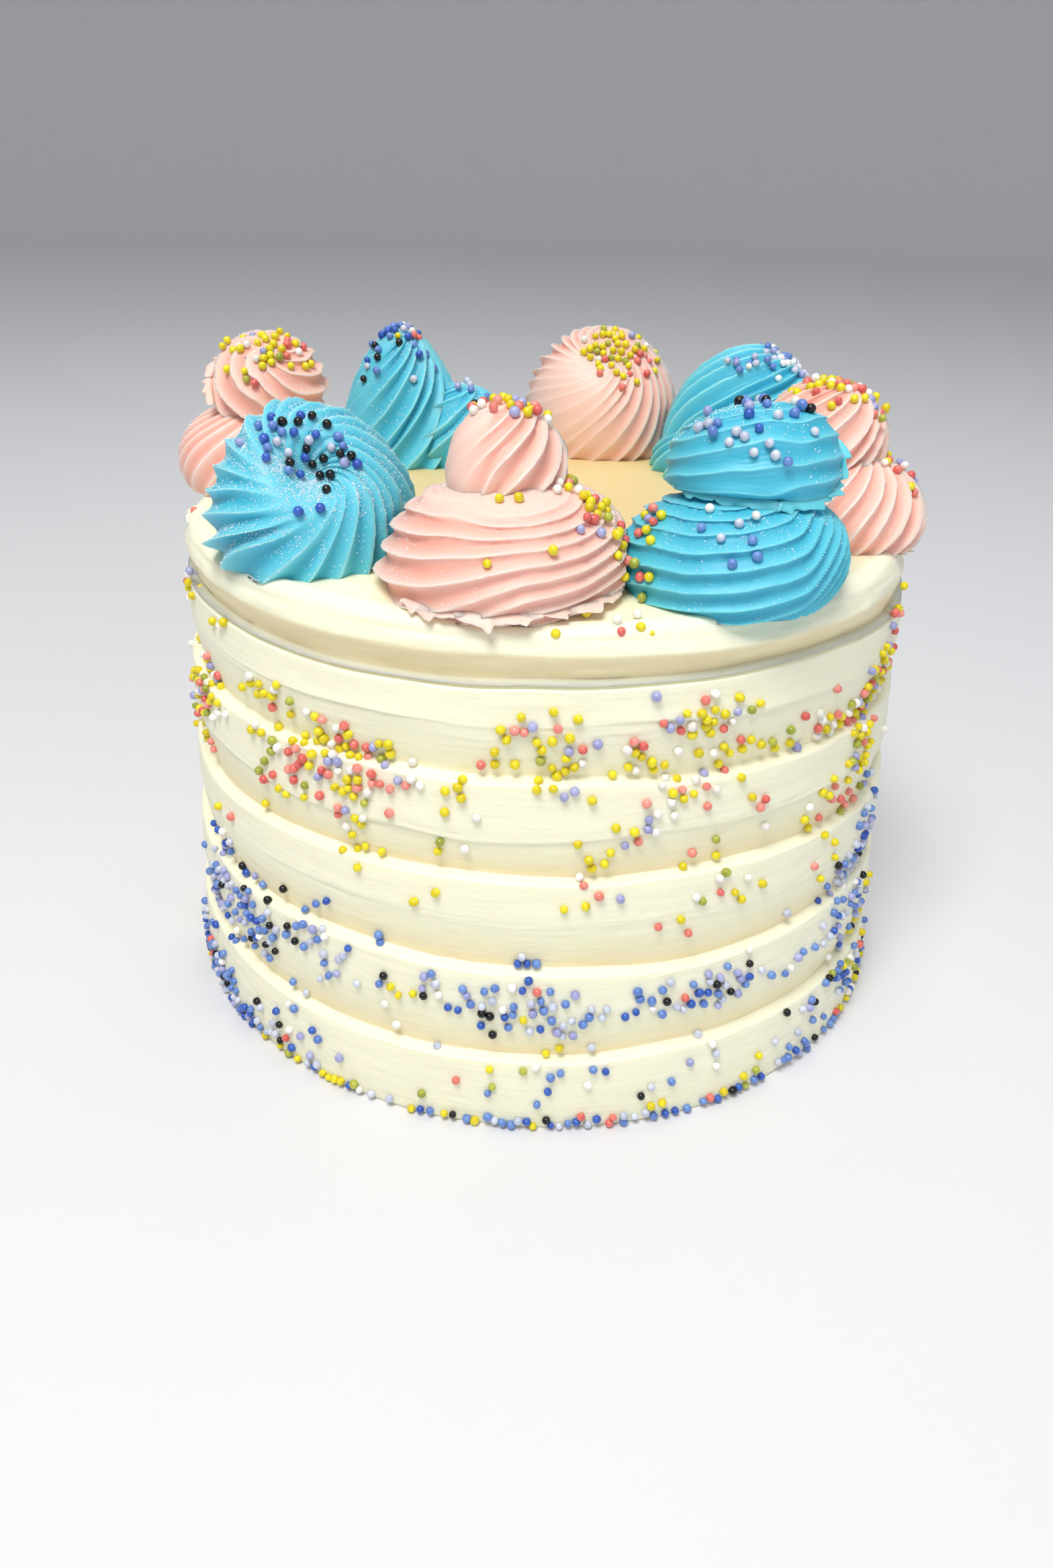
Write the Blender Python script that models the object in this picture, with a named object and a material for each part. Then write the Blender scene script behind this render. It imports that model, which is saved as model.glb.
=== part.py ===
"""Six inch buttercream party cake with a ring of eight piped swirls and scattered sugar pearls.

Frame: metres, +Z up, the front of the cake at -Y. The origin is the centre of the flat foot.
The cake is one solid, its combed side and rolled lip included. Each piped swirl is a solid of its
own, seated on the flat top with a hair of clearance to the cake and to its two neighbours.
"""

from collections import namedtuple

import bmesh
import bpy
import numpy as np
from mathutils import Vector

MM = 0.001

# Driving dimensions of the cake, in metres
FOOT_RADIUS = 85.2 * MM
CAKE_HEIGHT = 107.3 * MM
TAPER = 0.0625                                        # lost radius for each metre of height
GROOVES = [z * MM for z in (96.6, 78.0, 58.0, 38.5, 18.0)]
GROOVE_DEPTH = 1.9 * MM
EDGE_HEIGHT = 0.9 * MM                                # the crisp upper edge of a combed band
LIP_WIDEST = 100.5 * MM
LIP_ROLL = 2.4 * MM
DRIFT = 3.5 * MM                                      # sag of the comb lines on the right
DRIFT_AZIMUTH = 80.0
SWELL = 0.3 * MM
CAKE_SIDES = 40

# Piping and pearls
GAP = 0.3 * MM
CELL_SIZE = 130.0 * MM
PEARL_RADIUS = 0.95 * MM
PEARL_SINK = 0.3                                      # share of a pearl's radius below the icing
SIDE_SCATTER_SEED = 41
RING_SCATTER_SEED = 97

# A tier is one squeeze of the piping bag: a fat star section carried along a short path.
# path in mm, girth = largest radius in mm, around = teeth round the section,
# along = teeth crossed from the first pole to the last, relief = depth of the teeth in mm,
# closing = share of the path over which each end closes, blunt = how square each end is.
# Where `around` is zero the bag went round in a coil, so the teeth are level rings.
Tier = namedtuple(
    "Tier",
    "path girth around along relief closing blunt squash seed",
    defaults=(1.8, (0.5, 0.6), (2.0, 2.2), 1.0, 1),
)
FAN_RINGS = 11                                        # rings on a tier with teeth from pole to pole
COIL_SIDES = 24                                       # corners of a ring on a coiled tier
COIL_CLIMB = 0.045                                    # share of a coil's skin that its teeth climb
COIL_SIDE = np.radians(20.0)                          # side of a coil that the teeth start low on
POLE_MARGIN = 0.05                                    # how far short of its poles a tier is capped

# A swirl has its icing, the middle of its seat and the radius it takes on the cake in mm,
# its tiers and the number of pearls on it.
Swirl = namedtuple("Swirl", "icing seat spread tiers pearls")

SWIRLS = {
    "swirl_pink_front": Swirl("pink", (-6.5, -55), 23, (
        Tier(((-6, -56, 97), (-7, -56, 127)), 23.3, 0, 14, closing=(0.5, 0.62), squash=0.95, seed=3),
        Tier(((-5, -51, 112), (-8, -51, 126), (-8, -50, 138)), 10.8, 14, 4, relief=1.5,
             closing=(0.5, 0.75), blunt=(2.0, 1.7), seed=4),
    ), 4),
    "swirl_blue_front_left": Swirl("blue", (-46, -41), 21, (
        Tier(((-45.5, -32, 104), (-46, -41, 115), (-41, -54, 127)), 20.6, 22, 5, relief=1.9,
             closing=(0.6, 0.6), blunt=(2.2, 2.2), seed=5),
    ), 5),
    "swirl_blue_front_right": Swirl("blue", (34, -55), 21, (
        Tier(((34, -56, 97), (33, -54.5, 126)), 21.0, 0, 14, squash=0.95, seed=7),
        Tier(((39, -50, 115), (36.5, -48, 138.5)), 15.4, 0, 11, relief=1.5,
             closing=(0.4, 0.65), blunt=(2.4, 2.2), squash=0.92, seed=8),
    ), 4),
    "swirl_pink_right": Swirl("pink", (61, -15), 21, (
        Tier(((60, -16, 98), (60.5, -16, 124)), 18.2, 18, 8, seed=9),
        Tier(((55, -14, 112), (58.5, -12, 136)), 13.0, 16, 6, relief=1.7, blunt=(2.0, 2.4), seed=10),
    ), 4),
    "swirl_blue_back_right": Swirl("blue", (48, 33), 21, (
        Tier(((34, 33, 100), (46, 36, 116), (59, 39, 130.5)), 16.0, 16, 5, closing=(0.55, 0.55),
             blunt=(2.2, 2.4), seed=11),
        Tier(((47, 33, 98), (45, 33, 121)), 20.5, 18, 7, closing=(0.5, 0.5), blunt=(2.0, 2.0),
             seed=12),
    ), 4),
    "swirl_pink_back": Swirl("pink", (11, 54), 21, (
        Tier(((13, 60, 101), (12.5, 53, 117), (6, 41, 131)), 20.8, 22, 5, relief=1.9,
             closing=(0.6, 0.6), blunt=(2.2, 2.2), seed=12),
    ), 4),
    "swirl_blue_back_left": Swirl("blue", (-34, 38), 21, (
        Tier(((-36, 38, 96), (-36, 38, 118), (-36, 34, 137)), 17.3, 18, 6,
             closing=(0.5, 0.85), blunt=(2.0, 1.5), seed=13),
        Tier(((-25, 34, 100), (-21, 32, 123)), 12.5, 12, 4, relief=1.6, blunt=(2.0, 2.0), seed=14),
    ), 4),
    "swirl_pink_left": Swirl("pink", (-65, 12), 21, (
        Tier(((-65, 12, 98), (-65, 12, 122)), 20.0, 20, 6, relief=1.3, closing=(0.5, 0.5), seed=15),
        Tier(((-74.5, 8, 130), (-64, 10, 129), (-54, 12, 112)), 10.8, 14, 2, relief=1.5,
             closing=(0.35, 0.5), blunt=(3.0, 2.0), seed=16),
    ), 4),
}

# Where the pearls lie on the side: azimuth from the front and its spread in degrees,
# height and its spread in mm, and how many
SIDE_PEARLS = (
    (-34, 12, 70, 9, 5),
    (-68, 7, 80, 14, 3),
    (0, 6, 82, 6, 3),
    (22, 10, 81, 9, 3),
    (66, 9, 78, 14, 3),
    (-56, 14, 30, 10, 4),
    (2, 16, 26, 6, 3),
    (65, 10, 26, 14, 3),
    (105, 12, 72, 10, 1),
    (150, 14, 76, 10, 2),
    (205, 14, 72, 9, 1),
    (245, 12, 76, 12, 2),
    (120, 14, 28, 9, 2),
    (180, 14, 26, 8, 1),
    (235, 14, 30, 9, 2),
)
FOOT_PEARLS = 6

# Colour, roughness and metallic value of each icing
ICINGS = {
    "buttercream": ((0.94, 0.90, 0.68), 0.55, 0.0),
    "pink": ((0.93, 0.56, 0.50), 0.50, 0.0),
    "blue": ((0.09, 0.47, 0.62), 0.50, 0.0),
}


def clear_scene():
    for item in list(bpy.data.objects):
        bpy.data.objects.remove(item)


def new_collection(name):
    group = bpy.data.collections.new(name)
    bpy.context.scene.collection.children.link(group)
    return group


def icing_material(name):
    colour, roughness, metallic = ICINGS[name]
    material = bpy.data.materials.new(name + "_icing")
    material.use_nodes = True
    shader = material.node_tree.nodes["Principled BSDF"]
    shader.inputs["Base Color"].default_value = (*colour, 1.0)
    shader.inputs["Roughness"].default_value = roughness
    shader.inputs["Metallic"].default_value = metallic
    return material


def closed_skin(name, rings, group):
    """Object from rings of points, lowest first: neighbours are joined and both ends are capped."""
    ring_count, columns = rings.shape[:2]
    corners = np.arange(columns)
    following = np.roll(corners, -1)
    faces = []
    for row in range(ring_count - 1):
        low = row * columns
        high = low + columns
        wall = np.stack([low + corners, low + following, high + following, high + corners], -1)
        faces += wall.tolist()
    ends = np.array([rings[0].mean(axis=0), rings[-1].mean(axis=0)])
    first_end = ring_count * columns
    low_cap = np.stack([np.full(columns, first_end), following, corners], -1)
    top = (ring_count - 1) * columns
    top_cap = np.stack([np.full(columns, first_end + 1), top + corners, top + following], -1)
    faces += low_cap.tolist() + top_cap.tolist()
    points = np.concatenate([rings.reshape(-1, 3), ends])
    mesh = bpy.data.meshes.new(name)
    mesh.from_pydata(points.tolist(), [], faces)
    mesh.update()
    body = bpy.data.objects.new(name, mesh)
    group.objects.link(body)
    return body


def side_radius(height):
    """Radius of the combed side at a height.

    Tapered wall, less a hollow that deepens over the lower half of each band down to the groove,
    and that closes again over the crisp edge of the band below.
    """
    wall = FOOT_RADIUS - TAPER * height
    for top, low in zip(GROOVES, GROOVES[1:] + [0.0]):
        if low < height <= top:
            share = (top - height) / (top - low)
            hollow = np.clip((share - 0.45) / 0.5, 0.0, 1.0)
            edge = np.clip((top - height) / EDGE_HEIGHT, 0.0, 1.0)
            if low == 0.0:
                hollow = 0.35 * hollow
            return wall - GROOVE_DEPTH * max(hollow ** 1.6, 1.0 - edge)
    return wall


def cake_profile():
    """Radius and height pairs up the side, over the rolled lip and in to the flat top."""
    profile = [(side_radius(1e-6), 0.0)]
    for low, top in zip([0.0] + GROOVES[:0:-1], GROOVES[::-1]):
        band = top - low
        profile.append((side_radius(low + 0.28 * band), low + 0.28 * band))
        profile.append((side_radius(low + 0.60 * band), low + 0.60 * band))
        profile.append((side_radius(top - EDGE_HEIGHT), top - EDGE_HEIGHT))
        profile.append((side_radius(top), top))
    lip_radius = FOOT_RADIUS - TAPER * LIP_WIDEST + 0.6 * MM
    profile.append((lip_radius, LIP_WIDEST))
    profile.append((lip_radius - 0.25 * LIP_ROLL, CAKE_HEIGHT - LIP_ROLL))
    profile.append((lip_radius - 1.2 * LIP_ROLL, CAKE_HEIGHT))
    return profile


def comb_drift(azimuth, height):
    """How far the comb lines sag at an azimuth from the front, fading to none at foot and top."""
    turn = np.radians(azimuth - DRIFT_AZIMUTH)
    sag = np.exp(6.0 * (np.cos(turn) - 1.0))
    return -DRIFT * sag * np.sin(np.pi * np.clip(height / CAKE_HEIGHT, 0.0, 1.0))


def uneven(azimuth, height):
    """Slow swelling of the hand-spread side: a few waves round the cake that turn with height."""
    turn = np.radians(azimuth)
    lift = height / CAKE_HEIGHT
    waves = np.sin(2.0 * turn + 1.0 + 2.0 * lift) + 0.6 * np.sin(3.0 * turn + 4.0 * lift)
    return SWELL * waves


def iced_cake(group):
    """Rings of the profile, each swollen and sagging a little with the azimuth."""
    azimuth = np.linspace(0.0, 360.0, CAKE_SIDES, endpoint=False)
    turn = np.radians(azimuth)
    rings = []
    for radius, height in cake_profile():
        reach = radius + uneven(azimuth, height)
        level = height + comb_drift(azimuth, height)
        rings.append(np.column_stack([reach * np.sin(turn), -reach * np.cos(turn), level]))
    return closed_skin("iced_cake", np.array(rings), group)


def curve_through(points, share):
    """Place and direction on the Bezier curve with these control points, at each share of it."""
    weight = share[..., None]
    level = [np.array(point, float) + 0.0 * weight for point in points]
    while len(level) > 2:
        level = [a * (1.0 - weight) + b * weight for a, b in zip(level[:-1], level[1:])]
    place = level[0] * (1.0 - weight) + level[1] * weight
    direction = level[1] - level[0]
    return place, direction / np.linalg.norm(direction, axis=-1, keepdims=True)


def tooth(turns):
    """One on a crest and zero in a valley, once in each whole turn, with a sharp crest."""
    return 1.0 - np.abs(np.sin(np.pi * turns)) ** 0.75


def tier_rings(tier):
    """Rings of one piped tier.

    Radius = girth x closing of both ends x slow lumps + teeth. The corners alternate between
    crest and valley, so a fan's columns turn with its teeth, and a coil has two rings a tooth
    that climb towards one side.
    """
    chance = np.random.default_rng(tier.seed)
    ring_count = FAN_RINGS if tier.around else 2 * tier.along + 1
    columns = 2 * tier.around or COIL_SIDES
    level, corner = np.meshgrid(np.linspace(0.0, 1.0, ring_count),
                                np.linspace(0.0, 2.0 * np.pi, columns, endpoint=False),
                                indexing="ij")
    if tier.around:
        angle = corner - 2.0 * np.pi * tier.along / tier.around * level
        teeth = tooth(tier.around * corner / (2.0 * np.pi))
        rows = level
    else:
        angle = corner
        teeth = tooth(tier.along * level)
        rows = level - COIL_CLIMB * np.cos(corner - COIL_SIDE) * np.sin(np.pi * level)
    share = 0.5 - 0.5 * np.cos(np.pi * (POLE_MARGIN + (1.0 - 2.0 * POLE_MARGIN) * rows))
    place, direction = curve_through(np.array(tier.path) * MM, share)
    first = np.clip(1.0 - share / tier.closing[0], 0.0, 1.0) ** tier.blunt[0]
    last = np.clip(1.0 - (1.0 - share) / tier.closing[1], 0.0, 1.0) ** tier.blunt[1]
    girth = (1.0 - first) ** (1.0 / tier.blunt[0]) * (1.0 - last) ** (1.0 / tier.blunt[1])
    across = np.cross(direction, (0.0, 1.0, 0.0))
    across /= np.linalg.norm(across, axis=-1, keepdims=True)
    upright = np.cross(direction, across)
    lumps = np.zeros_like(angle)
    for wave in (1, 2, 3):
        lumps += chance.normal(0.0, 0.02 / wave) * np.sin(wave * angle + chance.uniform(0.0, 6.28))
    depth = tier.relief * MM * np.clip(3.0 * girth, 0.0, 1.0)
    radius = tier.girth * MM * girth * (1.0 + lumps) + depth * (teeth - 0.55)
    side = (radius * np.cos(angle))[..., None] * across
    front = (radius * tier.squash * np.sin(angle))[..., None] * upright
    return place + side + front


def pearl(name, place, radius, group):
    """Twenty sided sugar pearl, each turned its own way by its place."""
    shape = bmesh.new()
    bmesh.ops.create_icosphere(shape, subdivisions=1, radius=radius)
    turn = Vector(place).normalized().to_track_quat("X", "Z").to_matrix()
    bmesh.ops.rotate(shape, verts=shape.verts, matrix=turn)
    bmesh.ops.translate(shape, verts=shape.verts, vec=Vector(place))
    mesh = bpy.data.meshes.new(name)
    shape.to_mesh(mesh)
    shape.free()
    grain = bpy.data.objects.new(name, mesh)
    group.objects.link(grain)
    return grain


def side_pearl_places():
    """Centres of the pearls on the combed side and round the foot, at least two radii apart."""
    chance = np.random.default_rng(SIDE_SCATTER_SEED)
    places = []
    wanted = []
    for azimuth, width, height, rise, count in SIDE_PEARLS:
        for _ in range(count):
            wanted.append((azimuth + width * chance.uniform(-1, 1),
                           (height + rise * chance.uniform(-1, 1)) * MM))
    for index in range(FOOT_PEARLS):
        azimuth = 360.0 * (index + chance.uniform(0.2, 0.8)) / FOOT_PEARLS
        wanted.append((azimuth, PEARL_RADIUS * chance.uniform(1.1, 2.2)))
    for azimuth, height in wanted:
        flank = side_radius(height - comb_drift(azimuth, height)) + uneven(azimuth, height)
        reach = flank + PEARL_RADIUS * (0.5 - PEARL_SINK)
        turn = np.radians(azimuth)
        place = np.array([reach * np.sin(turn), -reach * np.cos(turn), height])
        if all(np.linalg.norm(place - other) > 3.0 * PEARL_RADIUS for other in places):
            places.append(place)
    return places


def swirl_pearl_places(rings, count, seed, ceiling):
    """Centres of pearls on the upper skin of a tier, drawn one by one and kept apart."""
    chance = np.random.default_rng(seed)
    middle = rings.mean(axis=1, keepdims=True)
    outward = rings - middle
    outward[..., 2] += 0.3 * np.abs(outward).max()
    outward /= np.linalg.norm(outward, axis=-1, keepdims=True)
    flat = rings.reshape(-1, 3)
    lift = outward.reshape(-1, 3)
    high = np.flatnonzero(flat[:, 2] > ceiling)
    places = []
    for pick in chance.permutation(high):
        place = flat[pick] + lift[pick] * PEARL_RADIUS * (0.5 - PEARL_SINK)
        if all(np.linalg.norm(place - other) > 4.0 * PEARL_RADIUS for other in places):
            places.append(place)
        if len(places) == count:
            break
    return places


def seat_cell(name, swirl, group):
    """Convex cell that a swirl may fill: above the cake top and on its own side of neighbours."""
    shape = bmesh.new()
    bmesh.ops.create_cube(shape, size=CELL_SIZE)
    middle = Vector((swirl.seat[0] * MM, swirl.seat[1] * MM, CAKE_HEIGHT))
    bmesh.ops.translate(shape, verts=shape.verts, vec=middle)
    walls = [(middle + Vector((0.0, 0.0, GAP)), Vector((0.0, 0.0, -1.0)))]
    for other in SWIRLS.values():
        if other is swirl:
            continue
        towards = Vector((other.seat[0] * MM, other.seat[1] * MM, CAKE_HEIGHT)) - middle
        share = swirl.spread / (swirl.spread + other.spread)
        outward = towards.normalized()
        walls.append((middle + towards * share - outward * 0.5 * GAP, outward))
    for point, outward in walls:
        everything = shape.verts[:] + shape.edges[:] + shape.faces[:]
        bmesh.ops.bisect_plane(shape, geom=everything, plane_co=point, plane_no=outward,
                               clear_outer=True)
        bmesh.ops.holes_fill(shape, edges=shape.edges[:])
    bmesh.ops.recalc_face_normals(shape, faces=shape.faces)
    mesh = bpy.data.meshes.new(name)
    shape.to_mesh(mesh)
    shape.free()
    cell = bpy.data.objects.new(name, mesh)
    cell.hide_render = True
    cell.display_type = "WIRE"
    group.objects.link(cell)
    return cell


def apply_booleans(body, united=None, kept_in=None):
    """Join a collection to a body, then keep only what lies in a cell, and clear the helpers."""
    if united:
        union = body.modifiers.new("fuse", "BOOLEAN")
        union.operation = "UNION"
        union.operand_type = "COLLECTION"
        union.collection = united
        union.solver = "EXACT"
    if kept_in:
        trim = body.modifiers.new("trim", "BOOLEAN")
        trim.operation = "INTERSECT"
        trim.object = kept_in
        trim.solver = "EXACT"
    bpy.context.view_layer.update()
    graph = bpy.context.evaluated_depsgraph_get()
    result = bpy.data.meshes.new_from_object(body.evaluated_get(graph))
    body.modifiers.clear()
    body.data = result
    if united:
        for item in list(united.objects):
            bpy.data.objects.remove(item)
        bpy.data.collections.remove(united)
    if kept_in:
        bpy.data.objects.remove(kept_in)


def piped_swirl(name, swirl, order, cake_group, cutter_group):
    tiers = [tier_rings(tier) for tier in swirl.tiers]
    joined = new_collection(name + "_joined")
    body = closed_skin(name, tiers[0], cake_group)
    for index, rings in enumerate(tiers[1:]):
        closed_skin(f"{name}_tier_{index}", rings, joined)
    ceiling = tiers[-1][..., 2].max() - 10.0 * MM
    places = swirl_pearl_places(tiers[-1], swirl.pearls, RING_SCATTER_SEED + order, ceiling)
    for index, place in enumerate(places):
        pearl(f"{name}_pearl_{index}", place, PEARL_RADIUS, joined)
    apply_booleans(body, joined, seat_cell(name + "_cell", swirl, cutter_group))
    return body


def main():
    clear_scene()
    cake_group = new_collection("gender_reveal_cake")
    cutter_group = new_collection("cutters")
    materials = {name: icing_material(name) for name in ICINGS}

    cake = iced_cake(cake_group)
    pearls = new_collection("side_pearls")
    for index, place in enumerate(side_pearl_places()):
        pearl(f"side_pearl_{index}", place, PEARL_RADIUS, pearls)
    apply_booleans(cake, pearls)
    cake.data.materials.append(materials["buttercream"])

    for order, (name, swirl) in enumerate(SWIRLS.items()):
        body = piped_swirl(name, swirl, order, cake_group, cutter_group)
        body.data.materials.append(materials[swirl.icing])


main()
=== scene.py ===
"""Looks of the party cake: combed buttercream, eight piped swirls, sugar pearls and sanding sugar.

Metres, +Z up, front at -Y, origin at the centre of the foot. Azimuths are degrees from the front,
growing to the right. Heights and girths in the tables are in millimetres.
"""

from collections import namedtuple

import bpy
import numpy as np
from mathutils import Matrix, Vector


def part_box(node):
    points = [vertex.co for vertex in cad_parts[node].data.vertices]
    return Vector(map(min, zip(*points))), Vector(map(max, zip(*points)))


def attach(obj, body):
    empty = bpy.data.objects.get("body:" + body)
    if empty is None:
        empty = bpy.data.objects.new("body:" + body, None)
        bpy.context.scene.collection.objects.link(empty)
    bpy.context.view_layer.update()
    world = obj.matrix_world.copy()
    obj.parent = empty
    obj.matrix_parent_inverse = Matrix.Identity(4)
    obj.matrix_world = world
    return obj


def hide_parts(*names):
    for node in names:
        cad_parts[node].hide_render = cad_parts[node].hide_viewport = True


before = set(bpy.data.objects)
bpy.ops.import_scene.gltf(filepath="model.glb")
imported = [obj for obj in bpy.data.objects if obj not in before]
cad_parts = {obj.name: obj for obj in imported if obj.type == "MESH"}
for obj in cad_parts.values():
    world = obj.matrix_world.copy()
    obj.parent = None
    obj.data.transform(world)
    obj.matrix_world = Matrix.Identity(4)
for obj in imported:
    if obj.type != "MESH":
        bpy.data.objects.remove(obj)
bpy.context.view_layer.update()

MM = 0.001

# ---------- measures of the cake, in mm
CAKE_COLUMNS = 370
MEAN_RADIUS = 80.0
FOOT_RADIUS = 85.2
FOOT_RINGS = (40.0, 80.0)
FOOT_LIFT = 0.6
FOOT_ROUNDING = 0.35
TAPER = 0.0625
# heights of the grooves of the comb, how deep they are and how tall the crisp edge over each is
GROOVES = (96.6, 78.0, 58.0, 38.5, 18.0)
GROOVE_DEPTH = 2.3
EDGE_HEIGHT = 0.9
LEVEL_STEP = 0.80
EDGE_LEVELS = (-1.6, -1.1, -0.85, -0.65, -0.45, -0.28, -0.12, 0.03, 0.18, 0.5)
# how far the comb lines sag, at which azimuth, and how far the side swells
DRIFT = 3.5
DRIFT_AZIMUTH = 80.0
SWELL = 0.3
# folds left by the scraper: height, how far each stands out, seed
FOLDS = ((89.0, 0.55, 31), (67.0, 0.50, 32), (48.5, 0.30, 33))
# the lip: where its face and its shoulder begin on the way up, how much the under face, the face
# and the shoulder rise, and how far the face leans in and the shoulder rounds in
LIP_LOW = GROOVES[0]
LIP_RADIUS = 79.3
LIP_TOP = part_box("iced_cake")[1].z / MM
LIP_FACE, LIP_SHOULDER = 0.34, 0.60
LIP_RISES = (5.2, 2.6, 2.9)
LIP_LEAN, LIP_ROUNDING = 0.9, 3.2
LIP_RINGS = 26
# azimuth, width and depth of the place at the right where the spatula pressed the lip back
PRESSED = (76.0, 26.0, 1.5)
LIP_WAVE = 0.60
TOP_SHARES = (0.985, 0.965, 0.94, 0.91, 0.87, 0.82, 0.76, 0.70, 0.62, 0.53, 0.43, 0.32, 0.2, 0.08)

# ---------- measures of what lies on it
GAP = 0.3
SEAT_HEIGHT = LIP_TOP - 1.2
PEARL_RADIUS = 0.88
PEARL_GAP = 1.8 * PEARL_RADIUS * MM
PEARL_PROUD = 0.55 * PEARL_RADIUS
CLUSTER_SPREAD = 0.62
# pearls on the flat top: how far it lies under the lip, how far out of it their middles stand
TOP_DIP = 0.35
TOP_PROUD = 0.6 * PEARL_RADIUS
# pearls on a swirl: spread of a cluster for its radius, how far out in their own radii their
# middles stand, and the most overhanging face that holds one
SWIRL_SPREAD, SWIRL_PROUD, OVERHANG = 0.6, 0.7, -0.25
FOOT_LEVEL = 1.15 * PEARL_RADIUS
HIGHEST_PEARL = 103.0
# how far out a pearl lies on the top, and where and how much the lip falls away under it
TOP_REACH, TOP_FALLS_FROM, TOP_FALLS_OVER, TOP_FALL = 77.3, 74.5, 3.5, 2.5
STRAY_PEARLS = 40
STRAY_BANDS = ((46.0, 95.0, "warm"), (4.0, 44.0, "cool"))
FOOT_PEARLS = 420
FOOT_SPREAD = 1.3
# sugar: size of a grain, how far its middle stands out, and the size of the drifts in metres
GRAIN_RADIUS = 0.125
GRAIN_PROUD = 0.04
DRIFT_SIZE = 0.006
# crest value of a torn edge, which sets its colour: how much painted valley shade or painted crest
# highlight it gets
TORN_ICING, TORN_LIP = 0.74, 0.9
# and of icing without ridges
SMOOTH_ICING = 0.75

# ---------- measures of the piping
# path in mm, girth = largest radius, around = ridges round the section, along = ridges crossed
# from the first pole to the last, relief = depth of the ridges, closing and blunt = how each end
# closes, squash = how deep the section is for its width, lean = how far the valleys sit towards the
# next crest, bald = (angle, half width, from, to) of a smooth patch, dimple = depth of the hole at
# the last pole, hook = extra turn of the ridges into that pole, flare = (angle, half width, factor)
# of deeper ridges, sweep = (angle, share) of where ridges run most level and how far they do,
# gather = (angle, half width, height, share) of where ridges draw together towards a height and how
# much, rings and columns = how fine the skin is. Angle 0 is the left of an upright tier, 90 its
# front.
Tier = namedtuple(
    "Tier",
    "path girth around along relief closing blunt squash seed lean bald dimple hook flare "
    "sweep gather rings columns",
    defaults=(1.8, (0.5, 0.6), (2.0, 2.2), 1.0, 1, 0.4, None, 0.0, 0.0, None, (0.0, 0.0), None, 150,
              0),
)
# A torn edge is a thin ragged flap along a bowed line: its two ends, how far the middle bows out,
# which way out is, how wide and how thick the flap is, its seed and how long each tooth is
Tear = namedtuple("Tear", "first last bow out width thick seed tooth", defaults=(5.5,))
Swirl = namedtuple("Swirl", "icing seat spread tiers tears", defaults=((),))

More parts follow.
